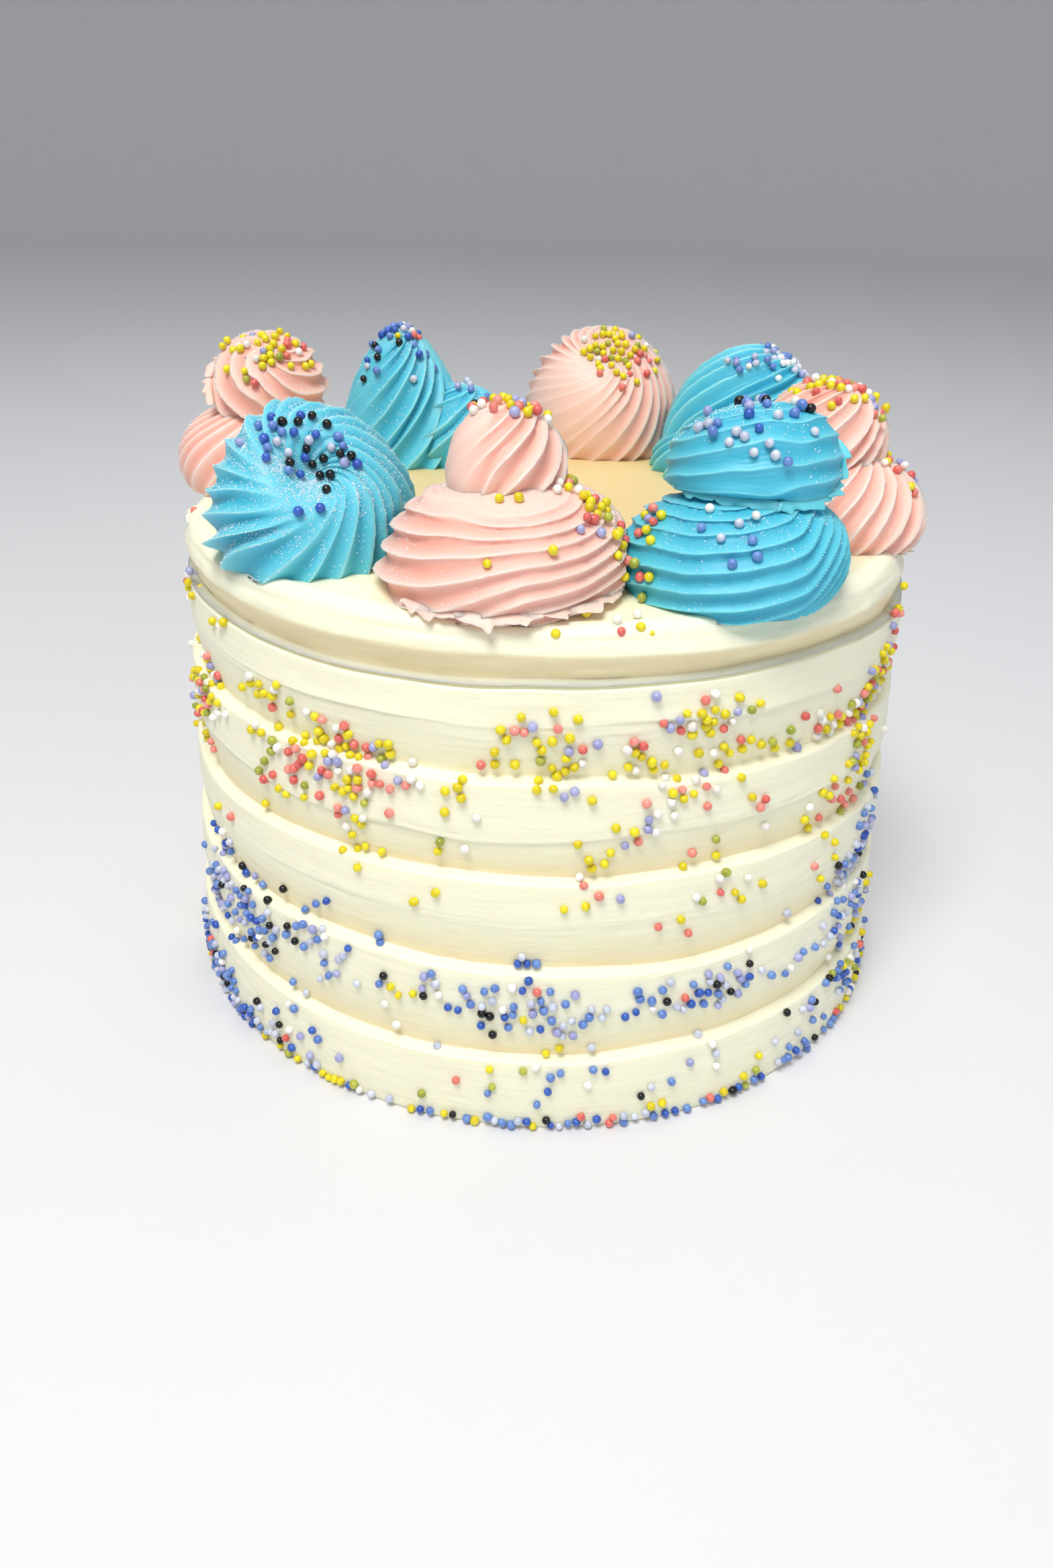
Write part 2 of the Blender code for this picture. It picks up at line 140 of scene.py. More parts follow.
SWIRLS = {
    "swirl_pink_front": Swirl("pink", (-6.5, -55), 23, (
        Tier(((-6, -56, 97), (-8, -56, 126)), 23.2, 8, 14, 1.9, (0.5, 0.6), (2.0, 2.2), 0.95, 3,
             lean=0.2, bald=(80, 130, 0.70, 0.77), flare=(0, 60, 1.3), sweep=(55, 0.9),
             gather=(140, 85, 0.64, 0.7), rings=240, columns=240),
        Tier(((-6.8, -54, 117), (-8, -54, 128), (-7, -53, 138)), 10.7, 13, 6, 1.5, (0.45, 0.65),
             (2.0, 2.1), 1.0, 4, bald=(20, 75, -1.0, -0.5), hook=0.5, rings=120),
    ), (
        Tear((-24, -72.2, 108.6), (-12.5, -77.6, 108.4), 1.4, (-0.4, -0.85, -0.5), 2.4, 0.6, 71, 4.4),
        Tear((-14.5, -77.6, 108.4), (0.5, -77.6, 108.4), 1.2, (0, -0.85, -0.6), 3.0, 0.6, 72, 6.5),
        Tear((-3.5, -77.6, 108.6), (10.0, -70.8, 108.8), 1.0, (0.45, -0.8, -0.5), 2.8, 0.6, 73, 5.0),
        Tear((5, -74.6, 108.6), (14, -65.5, 109.0), 0.8, (0.6, -0.75, -0.4), 3.2, 0.6, 80, 7.0),
    )),
    "swirl_blue_front_left": Swirl("blue", (-46, -41), 21, (
        Tier(((-45.5, -32, 104), (-46, -41, 115), (-41, -54, 127)), 20.2, 21, 6, 1.8, (0.6, 0.6),
             (2.2, 2.2), 1.0, 5, lean=0.5, bald=(60, 115, 0.68, 0.84), dimple=6.0, hook=1.2,
             flare=(48, 44, 1.7), rings=190, columns=336),
    )),
    "swirl_blue_front_right": Swirl("blue", (34, -55), 21, (
        Tier(((35, -56, 98.5), (32.5, -54.5, 124.6)), 20.4, 6, 16, 1.5, (0.5, 0.5), (2.0, 2.4), 0.95,
             7, lean=-0.2, sweep=(50, 0.8), gather=(186, 64, 0.86, 0.45), rings=230, columns=230),
        Tier(((36.5, -52, 121.6), (37, -50.5, 130), (36, -48, 138)), 15.5, 3, 12, 0.8, (0.2, 0.6),
             (2.4, 2.3), 0.95, 8, lean=-0.2, rings=170, columns=190),
    ), (
        Tear((22.4, -55.2, 125.8), (29.9, -62.6, 125.3), 0.9, (-0.6, -0.5, -0.9), 2.0, 0.8, 75, 4.8),
        Tear((28.5, -62.1, 125.3), (40.0, -65.0, 124.9), 1.0, (-0.1, -0.7, -1.0), 2.2, 0.8, 76, 5.6),
        Tear((39.0, -65.2, 124.9), (49.5, -59.6, 125.1), 1.0, (0.4, -0.7, -0.9), 2.4, 0.8, 77, 4.6),
        Tear((48.6, -60.4, 125.2), (51.8, -52.5, 126.7), 0.6, (0.9, -0.4, -0.5), 2.2, 1.0, 81, 3.6),
        Tear((51.4, -49.0, 132.5), (51.8, -54.0, 126.5), 0.6, (1, -0.3, 0.0), 1.7, 1.1, 82, 3.4),
    )),
    "swirl_pink_right": Swirl("pink", (61, -15), 21, (
        Tier(((59.3, -18.6, 98.8), (60.2, -17, 123.6)), 18.0, 22, 7, seed=9, hook=0.4),
        Tier(((54.6, -15, 112), (58.2, -13, 135.8)), 13.0, 18, 7, blunt=(2.0, 2.4), seed=10, hook=0.4),
    )),
    "swirl_blue_back_right": Swirl("blue", (48, 33), 21, (
        Tier(((34, 33, 100), (46, 36, 116), (59, 39, 130.5)), 16.0, 26, 6, 2.1, (0.55, 0.55),
             (2.2, 2.4), 1.0, 11, lean=0.3, rings=136),
        Tier(((47, 33, 98), (45, 33, 121)), 20.3, 24, 10, 1.8, (0.5, 0.5), (2.0, 2.0), 1.0, 12,
             rings=136),
    )),
    "swirl_pink_back": Swirl("pink", (11, 54), 21, (
        Tier(((13, 60, 100), (12.5, 54, 117), (12.5, 43, 132.5)), 19.8, 23, 9, 1.6, (0.6, 0.6),
             (2.2, 2.2), 1.0, 12, bald=(48, 90, 0.36, 0.60), dimple=2.5, hook=1.0,
             flare=(325, 60, 1.7), rings=190),
    )),
    "swirl_blue_back_left": Swirl("blue", (-34, 38), 21, (
        Tier(((-37, 38, 96), (-37, 38, 116), (-36, 34, 137.5)), 18.0, 17, 7, 1.6, (0.42, 0.95),
             (2.0, 1.75), 1.0, 13, bald=(20, 65, 0.25, 0.45), hook=0.8,
             flare=(150, 60, 1.5), columns=306),
        Tier(((-24, 35, 100), (-20, 34, 125)), 12.6, 12, 5, 1.7, (0.5, 0.6), (2.0, 2.0), 1.0, 14,
             hook=0.4, rings=100, columns=192),
    )),
    "swirl_pink_left": Swirl("pink", (-65, 12), 21, (
        Tier(((-65, 12, 98), (-65, 12, 124.5)), 20.0, 24, 9, 0.65, (0.5, 0.5), (2.0, 2.2), 1.0, 15),
        Tier(((-63, 14, 121.5), (-63, 9, 129), (-62, 4, 136)), 12.7, 9, -7, 1.6, (0.4, 0.65),
             (2.0, 2.2), 1.0, 16, lean=-0.2, flare=(345, 75, 1.8), sweep=(20, 0.4), rings=150,
             columns=180),
    ), (
        Tear((-73.4, 13, 134.5), (-76.2, 8, 129.5), 0.6, (-1, 0.1, 0.2), 1.8, 1.3, 78, 3.6),
        Tear((-76.2, 8.5, 129.5), (-74.4, 2, 124.8), 0.8, (-1, -0.2, -0.1), 1.7, 1.3, 79, 2.6),
    )),
}

# Torn bits of buttercream on the lip
LIP_TEARS = (
    Tear((71.9, -28.1, 105.2), (75.6, -17.3, 105.4), 0.4, (1, -0.3, 0.1), 3.0, 1.2, 90, 2.6),
    Tear((74.7, -19.6, 106.2), (76.6, -8.8, 106.4), 0.3, (0.9, 0.0, 0.7), 3.0, 1.4, 91, 2.4),
    Tear((-76.4, -18.0, 104.6), (-78.2, -5.0, 104.6), 0.4, (-1, 0.0, 0.3), 1.0, 0.8, 92, 4.0),
)

# ---------- where the pearls lie
# How often each colour turns up in a mix
MIXES = {
    "warm": {"yellow": 46, "coral": 11, "salmon": 13, "olive": 8, "white": 13, "lavender": 9},
    "bright": {"yellow": 40, "coral": 17, "salmon": 18, "olive": 4, "white": 14, "lavender": 7},
    "cool": {"periwinkle": 32, "royal": 14, "lavender": 7, "silver": 27, "white": 5, "black": 13,
             "yellow": 1, "coral": 1},
    "inky": {"periwinkle": 27, "royal": 13, "black": 30, "silver": 21, "lavender": 6, "white": 3},
    "pale": {"silver": 34, "periwinkle": 30, "lavender": 18, "royal": 12, "white": 4, "black": 2},
    "frost": {"silver": 42, "white": 26, "periwinkle": 16, "lavender": 10, "royal": 6},
    "motley": {"yellow": 22, "coral": 20, "salmon": 10, "olive": 14, "lavender": 22,
               "periwinkle": 12},
    "foot": {"periwinkle": 24, "royal": 15, "silver": 16, "black": 9, "yellow": 16, "coral": 8,
             "olive": 6, "white": 6},
    "lemon": {"yellow": 66, "olive": 10, "coral": 10, "lavender": 6, "white": 8},
}

# On the side: azimuth, its spread, height, its spread, how many, which mix
SIDE_CLUSTERS = (
    (-25, 5.5, 77, 4, 62, "bright"), (-25, 3.5, 69, 3, 16, "bright"), (-34, 5, 70, 3.5, 13, "warm"),
    (-34, 3, 76, 2.5, 11, "bright"), (-40, 3, 77, 1.2, 6, "lemon"), (-31, 1.5, 84, 1, 4, "bright"),
    (-40, 5, 86, 2.5, 12, "warm"), (-17, 2, 77, 2, 6, "warm"), (-24, 2, 60, 2.5, 6, "lemon"),
    (-9, 3, 78, 4, 7, "warm"), (-1, 2.5, 89, 2, 6, "warm"), (5, 3, 91, 1, 2, "lemon"),
    (2, 4.5, 82, 4, 20, "lemon"), (8, 2, 81, 4, 4, "warm"), (23, 6, 89, 3, 24, "warm"),
    (13, 1.5, 85, 2, 5, "warm"), (14, 3, 80, 1, 8, "lemon"), (19, 2.5, 75, 4, 15, "bright"),
    (25, 4, 82, 1.5, 11, "lemon"), (24, 3, 76, 3, 7, "warm"), (35, 4, 79, 2, 5, "warm"),
    (32, 1, 69, 1, 2, "bright"), (43, 3, 81, 3, 8, "warm"), (54, 4, 78, 3.5, 40, "warm"),
    (61, 4, 83, 6, 36, "bright"), (66, 3, 94, 3, 6, "warm"), (55, 4, 69, 3, 16, "warm"),
    (47, 2, 66, 2, 4, "warm"), (55, 4, 59, 3, 7, "bright"), (45, 3, 60, 4, 6, "bright"),
    (9, 2.5, 60, 8, 8, "warm"), (13, 2, 68, 3, 7, "warm"), (21, 2, 62, 2, 2, "warm"),
    (28, 6, 55, 4, 10, "lemon"), (-12, 2, 64, 2, 3, "warm"), (-13, 4, 54, 2, 2, "lemon"),
    (7, 5, 55, 2, 4, "warm"), (22, 1.5, 45, 2, 2, "warm"), (47, 3, 48, 5, 4, "warm"),
    (-60, 5, 77, 5, 34, "warm"), (-66, 5, 66, 6, 14, "warm"), (-66, 4, 95, 4, 9, "warm"),
    (-52, 3, 95, 2, 3, "lemon"), (-47, 7, 31, 7, 40, "inky"), (-56, 6, 37, 7, 22, "pale"),
    (-35, 6, 35, 6, 17, "inky"), (-60, 6, 24, 6, 28, "pale"), (-26, 6, 32, 5, 12, "cool"),
    (-21, 1, 40, 1, 2, "inky"), (-19, 3, 31, 2, 4, "bright"), (-14, 2, 34, 3, 4, "cool"),
    (-38, 7, 11, 6, 14, "cool"), (-62, 8, 7, 4, 46, "cool"), (-6, 5.5, 30, 5, 19, "cool"),
    (1, 4.5, 31, 5, 20, "cool"), (-2, 2, 40, 1.2, 4, "pale"), (5, 2.5, 26, 3, 6, "cool"),
    (9, 2.5, 30, 3, 6, "cool"), (14, 3, 29, 3, 8, "cool"), (18, 1.2, 29, 4, 4, "inky"),
    (27, 6, 30, 4, 30, "cool"), (26, 2, 15, 3, 5, "pale"), (45, 4, 13, 4, 6, "cool"),
    (43, 3, 28, 2, 5, "cool"), (56, 6, 36, 9, 46, "pale"), (63, 6, 44, 9, 30, "pale"),
    (56, 7, 14, 6, 22, "foot"), (66, 6, 20, 9, 26, "foot"), (44, 4, 3, 1.5, 9, "cool"),
    (-9, 5, 13, 6, 5, "foot"), (1, 3, 14, 10, 8, "foot"), (5, 4, 15, 6, 4, "cool"),
    (10, 3, 13, 3, 3, "pale"), (0, 14, 1.5, 1, 30, "foot"), (-54, 9, 3, 2, 36, "cool"),
    (-30, 6, 2, 1, 12, "foot"),
    # the far side
    (96, 8, 78, 8, 20, "warm"), (112, 9, 64, 9, 26, "bright"), (134, 8, 80, 7, 30, "warm"),
    (152, 7, 69, 7, 44, "bright"), (172, 8, 80, 6, 18, "warm"), (186, 9, 62, 8, 16, "warm"),
    (206, 7, 76, 7, 34, "bright"), (226, 9, 70, 9, 22, "warm"), (244, 8, 82, 7, 28, "warm"),
    (262, 8, 70, 8, 26, "bright"), (275, 8, 84, 6, 12, "warm"), (92, 8, 30, 8, 40, "cool"),
    (110, 8, 22, 7, 26, "cool"), (128, 7, 34, 6, 34, "inky"), (150, 9, 20, 7, 24, "pale"),
    (170, 7, 28, 7, 40, "cool"), (190, 8, 18, 6, 18, "cool"), (208, 7, 32, 6, 34, "cool"),
    (228, 8, 22, 7, 26, "inky"), (248, 8, 34, 7, 36, "cool"), (268, 8, 24, 7, 30, "cool"),
)

# On the flat top and its lip: x, y and spread in mm, how many, which mix
TOP_CLUSTERS = (
    (14.5, -77.0, 2.6, 9, "bright"), (19, -76, 1.8, 3, "lemon"), (3.2, -77.5, 0.8, 1, "lemon"),
    (72, -26, 1.2, 1, "lemon"), (-77, -14, 2.0, 3, "warm"), (-60, -48, 1.4, 2, "warm"),
    (75, 24, 2.5, 3, "warm"), (-70, 36, 2.5, 3, "warm"), (40, 68, 2.5, 4, "bright"),
    (-20, 75, 2.5, 4, "warm"),
)

# On the swirls: x, y, z of the middle of a cluster, its radius in mm, how many, which mix
SWIRL_CLUSTERS = {
    "swirl_pink_front": (
        (-6, -54, 139, 5.5, 24, "bright"), (0, -56, 134.5, 4.5, 18, "bright"),
        (4, -58, 130, 3.0, 8, "bright"), (-14, -57, 133, 3.5, 4, "warm"),
        (11, -63, 122, 4.5, 18, "lemon"), (-2, -70, 119, 8.0, 4, "lemon"),
        (15, -66, 112, 4.0, 3, "warm"),
    ),
    "swirl_blue_front_left": (
        (-40, -54, 131, 4.5, 22, "inky"), (-45, -52, 133, 5.0, 18, "inky"),
        (-49, -49, 131, 4.0, 5, "cool"), (-40, -62, 121, 3.5, 2, "pale"),
    ),
    "swirl_blue_front_right": (
        (38, -56, 138, 6.5, 14, "cool"), (32, -59, 135, 5.5, 14, "pale"),
        (36, -63, 130, 4.5, 6, "pale"), (30, -70, 121, 6.0, 8, "pale"),
        (16, -62, 121, 4.0, 9, "motley"), (15, -66, 111, 4.0, 4, "motley"),
    ),
    "swirl_pink_right": (
        (57, -14, 138, 6.0, 44, "bright"), (64, -15, 135, 5.0, 30, "bright"),
        (73, -18, 126, 4.5, 18, "bright"), (72, -24, 120, 5.0, 5, "warm"),
    ),
    "swirl_blue_back_right": (
        (57, 34, 136, 5.5, 28, "frost"), (53, 31, 137, 4.5, 12, "frost"),
        (65, 34, 132, 6.0, 34, "frost"), (40, 26, 131, 4.5, 8, "pale"),
    ),
    "swirl_pink_back": (
        (14, 42, 138, 5.5, 46, "lemon"), (20, 44, 135, 5.5, 40, "bright"),
        (18, 37, 129, 4.0, 10, "bright"),
    ),
    "swirl_blue_back_left": (
        (-37, 33, 139, 5.0, 40, "cool"), (-44, 30, 131, 4.0, 7, "inky"),
        (-30, 26, 132, 5.0, 4, "cool"), (-18, 30, 125, 4.0, 6, "pale"),
    ),
    "swirl_pink_left": (
        (-68, 6, 140, 3.5, 9, "lemon"), (-60, 6, 138, 6.0, 30, "warm"),
        (-64, 1, 132, 5.0, 9, "warm"),
    ),
}
# How many grains of sugar lie on each swirl
GRAINS = {"swirl_pink_front": 1300, "swirl_blue_front_left": 8000, "swirl_blue_front_right": 1500,
          "swirl_pink_right": 800, "swirl_blue_back_right": 1600, "swirl_pink_back": 1500,
          "swirl_blue_back_left": 2800, "swirl_pink_left": 1100}


# ---------- numbers
def smooth_noise(points, size, seed):
    """Random numbers on a cubic lattice of this cell size, eased between the eight nearest."""
    table = np.random.default_rng(seed).uniform(-1.0, 1.0, (32, 32, 32))
    place = points / size
    cell = np.floor(place).astype(int)
    part = place - cell
    part = part * part * (3.0 - 2.0 * part)
    total = np.zeros(points.shape[:-1])
    for corner in np.ndindex(2, 2, 2):
        index = (cell + corner) % 32
        weight = np.prod(np.where(np.array(corner) == 1, part, 1.0 - part), axis=-1)
        total += weight * table[index[..., 0], index[..., 1], index[..., 2]]
    return total


def ease(values, low, high):
    """Zero below `low`, one above `high`, smooth between."""
    share = np.clip((values - low) / (high - low), 0.0, 1.0)
    return share * share * (3.0 - 2.0 * share)


def near_angle(angle, middle, half_width):
    """One at an angle in degrees and zero from half_width away on, round the circle."""
    away = np.abs((np.degrees(angle) - middle + 180.0) % 360.0 - 180.0)
    return 1.0 - ease(away, 0.35 * half_width, half_width)


# ---------- meshes
def circle(columns):
    """Angles of so many columns, even round a full turn."""
    return np.linspace(0.0, 2.0 * np.pi, columns, endpoint=False)


def at_azimuth(azimuth, reach, height):
    """Points at azimuths in degrees, so far from the upright axis and so high."""
    turn = np.radians(azimuth)
    return np.stack(np.broadcast_arrays(reach * np.sin(turn), -reach * np.cos(turn), height), -1)


def ring_quads(count, columns, first=0):
    """Faces between neighbouring rings of points numbered on from `first`."""
    row = np.arange(count - 1)[:, None] * columns + first
    here = np.arange(columns)[None, :]
    after = (here + 1) % columns
    quads = np.stack([row + here, row + after, row + columns + after, row + columns + here], -1)
    return quads.reshape(-1, 4)


def closed_grid(rings):
    """Points and faces of rings whose first and last ring are drawn together to single points."""
    count, columns = rings.shape[:2]
    points = np.concatenate([rings[:1].mean(axis=1), rings[1:-1].reshape(-1, 3),
                             rings[-1:].mean(axis=1)])
    here = np.arange(columns)
    after = (here + 1) % columns
    last_row = 1 + (count - 3) * columns
    first = np.stack([np.zeros(columns, int), 1 + after, 1 + here], -1)
    last = np.stack([np.full(columns, len(points) - 1), last_row + here, last_row + after], -1)
    return points, ring_quads(count - 2, columns, 1), np.concatenate([first, last])


def grid_values(values):
    """The same drawing together for one number at each point of the rings."""
    return np.concatenate([values[:1].mean(axis=1), values[1:-1].ravel(), values[-1:].mean(axis=1)])


def new_object(name, data):
    """Object of this data, linked to the scene."""
    made = bpy.data.objects.new(name, data)
    bpy.context.scene.collection.objects.link(made)
    return made


def new_mesh(name, points, faces, material):
    """Smooth shaded mesh of these points and faces."""
    mesh = bpy.data.meshes.new(name)
    mesh.from_pydata(points.tolist(), [], faces)
    mesh.polygons.foreach_set("use_smooth", np.ones(len(mesh.polygons), bool))
    mesh.materials.append(material)
    return mesh


def new_piece(name, shells, material, painted_light_tones=None):
    """One object from closed shells of points, quads and triangles, riding on root."""
    faces = []
    base = 0
    for points, quads, triangles in shells:
        faces += (quads + base).tolist() + (triangles + base).tolist()
        base += len(points)
    mesh = new_mesh(name, np.concatenate([points for points, _, _ in shells]), faces, material)
    # the crest attribute holds the painted shade and highlight tone that sets the colour
    if painted_light_tones is not None:
        layer = mesh.attributes.new("crest", "FLOAT", "POINT")
        layer.data.foreach_set("value", np.concatenate(painted_light_tones).astype(np.float32))
    mesh.update()
    piece = new_object(name, mesh)
    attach(piece, "root")
    return piece


# ---------- the buttercream cake
def comb_drift(azimuth, height):
    """Sag of the comb lines in mm: deepest at DRIFT_AZIMUTH, none at the foot and the top."""
    turn = np.radians(azimuth - DRIFT_AZIMUTH)
    return (-DRIFT * np.exp(6.0 * (np.cos(turn) - 1.0))
            * np.sin(np.pi * np.clip(height / LIP_TOP, 0.0, 1.0)))


def wander(azimuth, height):
    """Slow up and down wandering of the comb lines in mm, none at the foot and the top."""
    turn = np.radians(azimuth)
    place = np.stack([np.sin(turn), np.cos(turn), height / 30.0], -1)
    drift = 1.0 * smooth_noise(place, 0.45, 11) + 0.35 * smooth_noise(place, 0.16, 12)
    return drift * ease(height, 0.0, 12.0) * (1.0 - ease(height, 95.0, 104.0))


def uneven(azimuth, height):
    """Slow swelling of the hand-spread side: a few waves round the cake that turn with height."""
    turn = np.radians(azimuth)
    lift = height / LIP_TOP
    waves = np.sin(2.0 * turn + 1.0 + 2.0 * lift) + 0.6 * np.sin(3.0 * turn + 4.0 * lift)
    return SWELL * waves


def comb_hollow(height):
    """How hollow the combed side is, from 0 to 1: growing over the lower half of each band down
    to its groove."""
    hollow = np.zeros(np.shape(height))
    for top, low in zip(GROOVES, GROOVES[1:] + (0.0,)):
        share = (top - height) / (top - low)
        inside = (share >= 0.0) & (share < 1.0)
        deepening = np.clip((share - 0.40) / 0.58, 0.0, 1.0) ** 1.4
        hollow = np.where(inside, deepening * (0.3 if low == 0.0 else 1.0), hollow)
    return hollow


def comb_profile(height):
    """Radius of the combed side in mm: tapered wall less the hollows, each ended by the crisp
    ledge where the band below begins."""
    depth = comb_hollow(height)
    for top in GROOVES:
        below = top - height
        depth = np.where(below >= 0.0, np.maximum(depth, 1.0 - ease(below, 0.0, EDGE_HEIGHT)), depth)
    return FOOT_RADIUS - TAPER * height - GROOVE_DEPTH * depth


def side_skin(azimuth, height):
    """Radius in mm of the finished side at an azimuth and a height before the comb lines wander.

    The combed profile, swollen, with fine level streaks of the scraper, shallow pocks, and the
    thin folds that run round some bands."""
    place = at_azimuth(azimuth, MEAN_RADIUS, height)
    streaks = smooth_noise(place * (0.06, 0.06, 1.0), 1.1, 21)
    fine = smooth_noise(place * (0.10, 0.10, 1.0), 0.5, 22)
    lumps = smooth_noise(place, 9.0, 23)
    pocks = np.clip(smooth_noise(place * (0.8, 0.8, 1.0), 1.7, 24) - 0.62, 0.0, 1.0)
    radius = comb_profile(height) + uneven(azimuth, height)
    radius = radius + 0.06 * streaks + 0.03 * fine + 0.16 * lumps - 0.9 * pocks
    for level, reach, seed in FOLDS:
        line = level + 1.6 * smooth_noise(place * (1.0, 1.0, 0.0) + seed, 26.0, seed)
        waxing = smooth_noise(place * (1.0, 1.0, 0.0), 40.0, seed + 1)
        strength = 0.25 + 0.75 * ease(waxing, -0.3, 0.3)
        above = height - line
        fold = np.exp(-np.clip(above, 0.0, None) / 2.4) * ease(above, -0.35, 0.15)
        radius = radius + reach * strength * fold
    return radius


def side_place(azimuth, height, proud):
    """Point on the side in metres, standing proud of it by so many mm."""
    level = height - comb_drift(azimuth, height) - wander(azimuth, height)
    return at_azimuth(azimuth, side_skin(azimuth, level) + proud, height) * MM


def side_levels():
    """Heights of the rings up the side: even, crowded at the crisp edges and the folds."""
    levels = [np.arange(FOOT_LIFT, LIP_LOW, LEVEL_STEP)]
    for top in GROOVES:
        levels.append(top + np.array(EDGE_LEVELS))
    for level, _, _ in FOLDS:
        levels.append(np.arange(level - 1.8, level + 1.8, 0.3))
    levels = np.unique(np.concatenate(levels))
    levels = levels[levels <= LIP_LOW + 0.1]
    return levels[np.concatenate([[True], np.diff(levels) > 0.09])]


def cake_rings():
    """Rings and painted shade tone from the middle of the foot, up the combed side, under and round
    the soft lip and in over the nearly flat top to its middle. The tone is 1 where the icing is palest
    and lower where shade
    is painted: in the lower half of each band down to its groove, under the lip and on the top towards
    its middle.

    The lip's height is the sum of a straight rise under it, a straight rise of its face and a
    quarter sine over its shoulder; its radius grows from the groove to the bulge, then leans in
    and rounds in by a quarter cosine."""
    azimuth = np.linspace(0.0, 360.0, CAKE_COLUMNS, endpoint=False)
    level_place = at_azimuth(azimuth, MEAN_RADIUS, 0.0)
    rings, painted_shade_tones = [], []

    def add(reach, height, tone):
        rings.append(at_azimuth(azimuth, reach, height) * MM)
        painted_shade_tones.append(tone + np.zeros(CAKE_COLUMNS))

    for reach in (0.0,) + FOOT_RINGS:
        add(reach, 0.0, 0.8)
    add(side_skin(azimuth, np.full(CAKE_COLUMNS, FOOT_LIFT)) - FOOT_ROUNDING, 0.0, 0.8)
    for level in side_levels():
        height = np.full(CAKE_COLUMNS, level)
        shift = comb_drift(azimuth, height) + wander(azimuth, height)
        # painted shade: the deep colour goes into the lower half of each band down to its groove, less
        # on the top band
        shade = 0.62 if level < GROOVES[1] else 0.3
        add(side_skin(azimuth, height), level + shift, 1.0 - shade * comb_hollow(height))
    slow, quick, frayed = (smooth_noise(level_place, size, seed)
                           for size, seed in ((34.0, 41), (9.0, 42), (2.4, 46)))
    low = np.full(CAKE_COLUMNS, LIP_LOW)
    groove = side_skin(azimuth, low)
    lift = comb_drift(azimuth, low) + wander(azimuth, low)
    pressed = np.exp(-(((azimuth - PRESSED[0] + 180.0) % 360.0 - 180.0) / PRESSED[1]) ** 2)
    bulge = LIP_RADIUS + 0.55 * slow + 0.22 * quick - PRESSED[2] * pressed
    for step in np.linspace(0.0, 1.0, LIP_RINGS + 1)[1:]:
        under = np.clip(step / LIP_FACE, 0.0, 1.0)
        face = np.clip((step - LIP_FACE) / (LIP_SHOULDER - LIP_FACE), 0.0, 1.0)
        corner = 0.5 * np.pi * np.clip((step - LIP_SHOULDER) / (1.0 - LIP_SHOULDER), 0.0, 1.0)
        height = LIP_LOW + np.dot(LIP_RISES, (under, face, np.sin(corner)))
        place = level_place + np.array([0.0, 0.0, height])
        reach = groove + (bulge - groove) * under - LIP_LEAN * face ** 1.5
        reach = reach - LIP_ROUNDING * (1.0 - np.cos(corner))
        reach = reach + 0.22 * frayed * np.exp(-((step - 0.38) / 0.14) ** 2)
        reach = reach + 0.24 * smooth_noise(place * (0.12, 0.12, 1.0), 1.2, 43)
        pocks = np.clip(smooth_noise(place * (0.6, 0.6, 1.0), 1.8, 45) - 0.60, 0.0, 1.0)
        wave = LIP_WAVE * (slow - 1.0) * ease(step, 0.5, 1.0)
        height = height + lift * (1.0 - ease(step, 0.0, 0.5)) + wave
        # painted shade: the under face of the lip gets the deep colour
        tone = 0.35 + 0.65 * ease(step, 0.28, 0.42)
        add(reach - 0.9 * pocks, np.minimum(height, LIP_TOP), tone)
    for share in TOP_SHARES:
        reach = (bulge - LIP_LEAN - LIP_ROUNDING) * share
        place = at_azimuth(azimuth, reach, 0.0)
        waves = smooth_noise(place * (1.0, 0.5, 1.0), 7.0, 44) - 1.0
        rim = LIP_WAVE * (slow - 1.0) * ease(share, 0.85, 1.0)
        # painted shade: the top darkens towards its middle, among the swirls
        tone = -0.2 + 1.0 * ease(share, 0.6, 0.95)
        add(reach, np.minimum(LIP_TOP + 0.22 * waves + rim, LIP_TOP), tone)
    add(0.0, LIP_TOP - 0.2, -0.2)
    return np.array(rings), np.array(painted_shade_tones)


# ---------- piped icing
def curve_through(points, share):
    """Place and direction on the Bezier curve with these control points, at each share of it."""
    weight = share[..., None]
    level = [np.array(point, float) + 0.0 * weight for point in points]
    while len(level) > 2:
        level = [a * (1.0 - weight) + b * weight for a, b in zip(level[:-1], level[1:])]
    place = level[0] * (1.0 - weight) + level[1] * weight
    direction = level[1] - level[0]
    return place, direction / np.linalg.norm(direction, axis=-1, keepdims=True)


def ridge(turns, lean, count, seed):
    """Crest value and height of each ridge: one on a crest and zero in the valley, once a turn.

    The value is 1 less a half sine, with a thin lip on the crest, and lean moves the valley
    towards the next crest. Each of the `count` ridges keeps a height of its own."""
    part = (turns - np.floor(turns)) ** (2.0 ** lean)
    number = (np.floor(turns) + (part > 0.5)).astype(int) % count
    heights = np.random.default_rng(seed).uniform(0.75, 1.15, count)
    face = 1.0 - np.abs(np.sin(np.pi * part)) ** 0.85
    lip = np.exp(-(np.minimum(part, 1.0 - part) / 0.05) ** 2)
    return 0.88 * face + 0.12 * lip, heights[number]


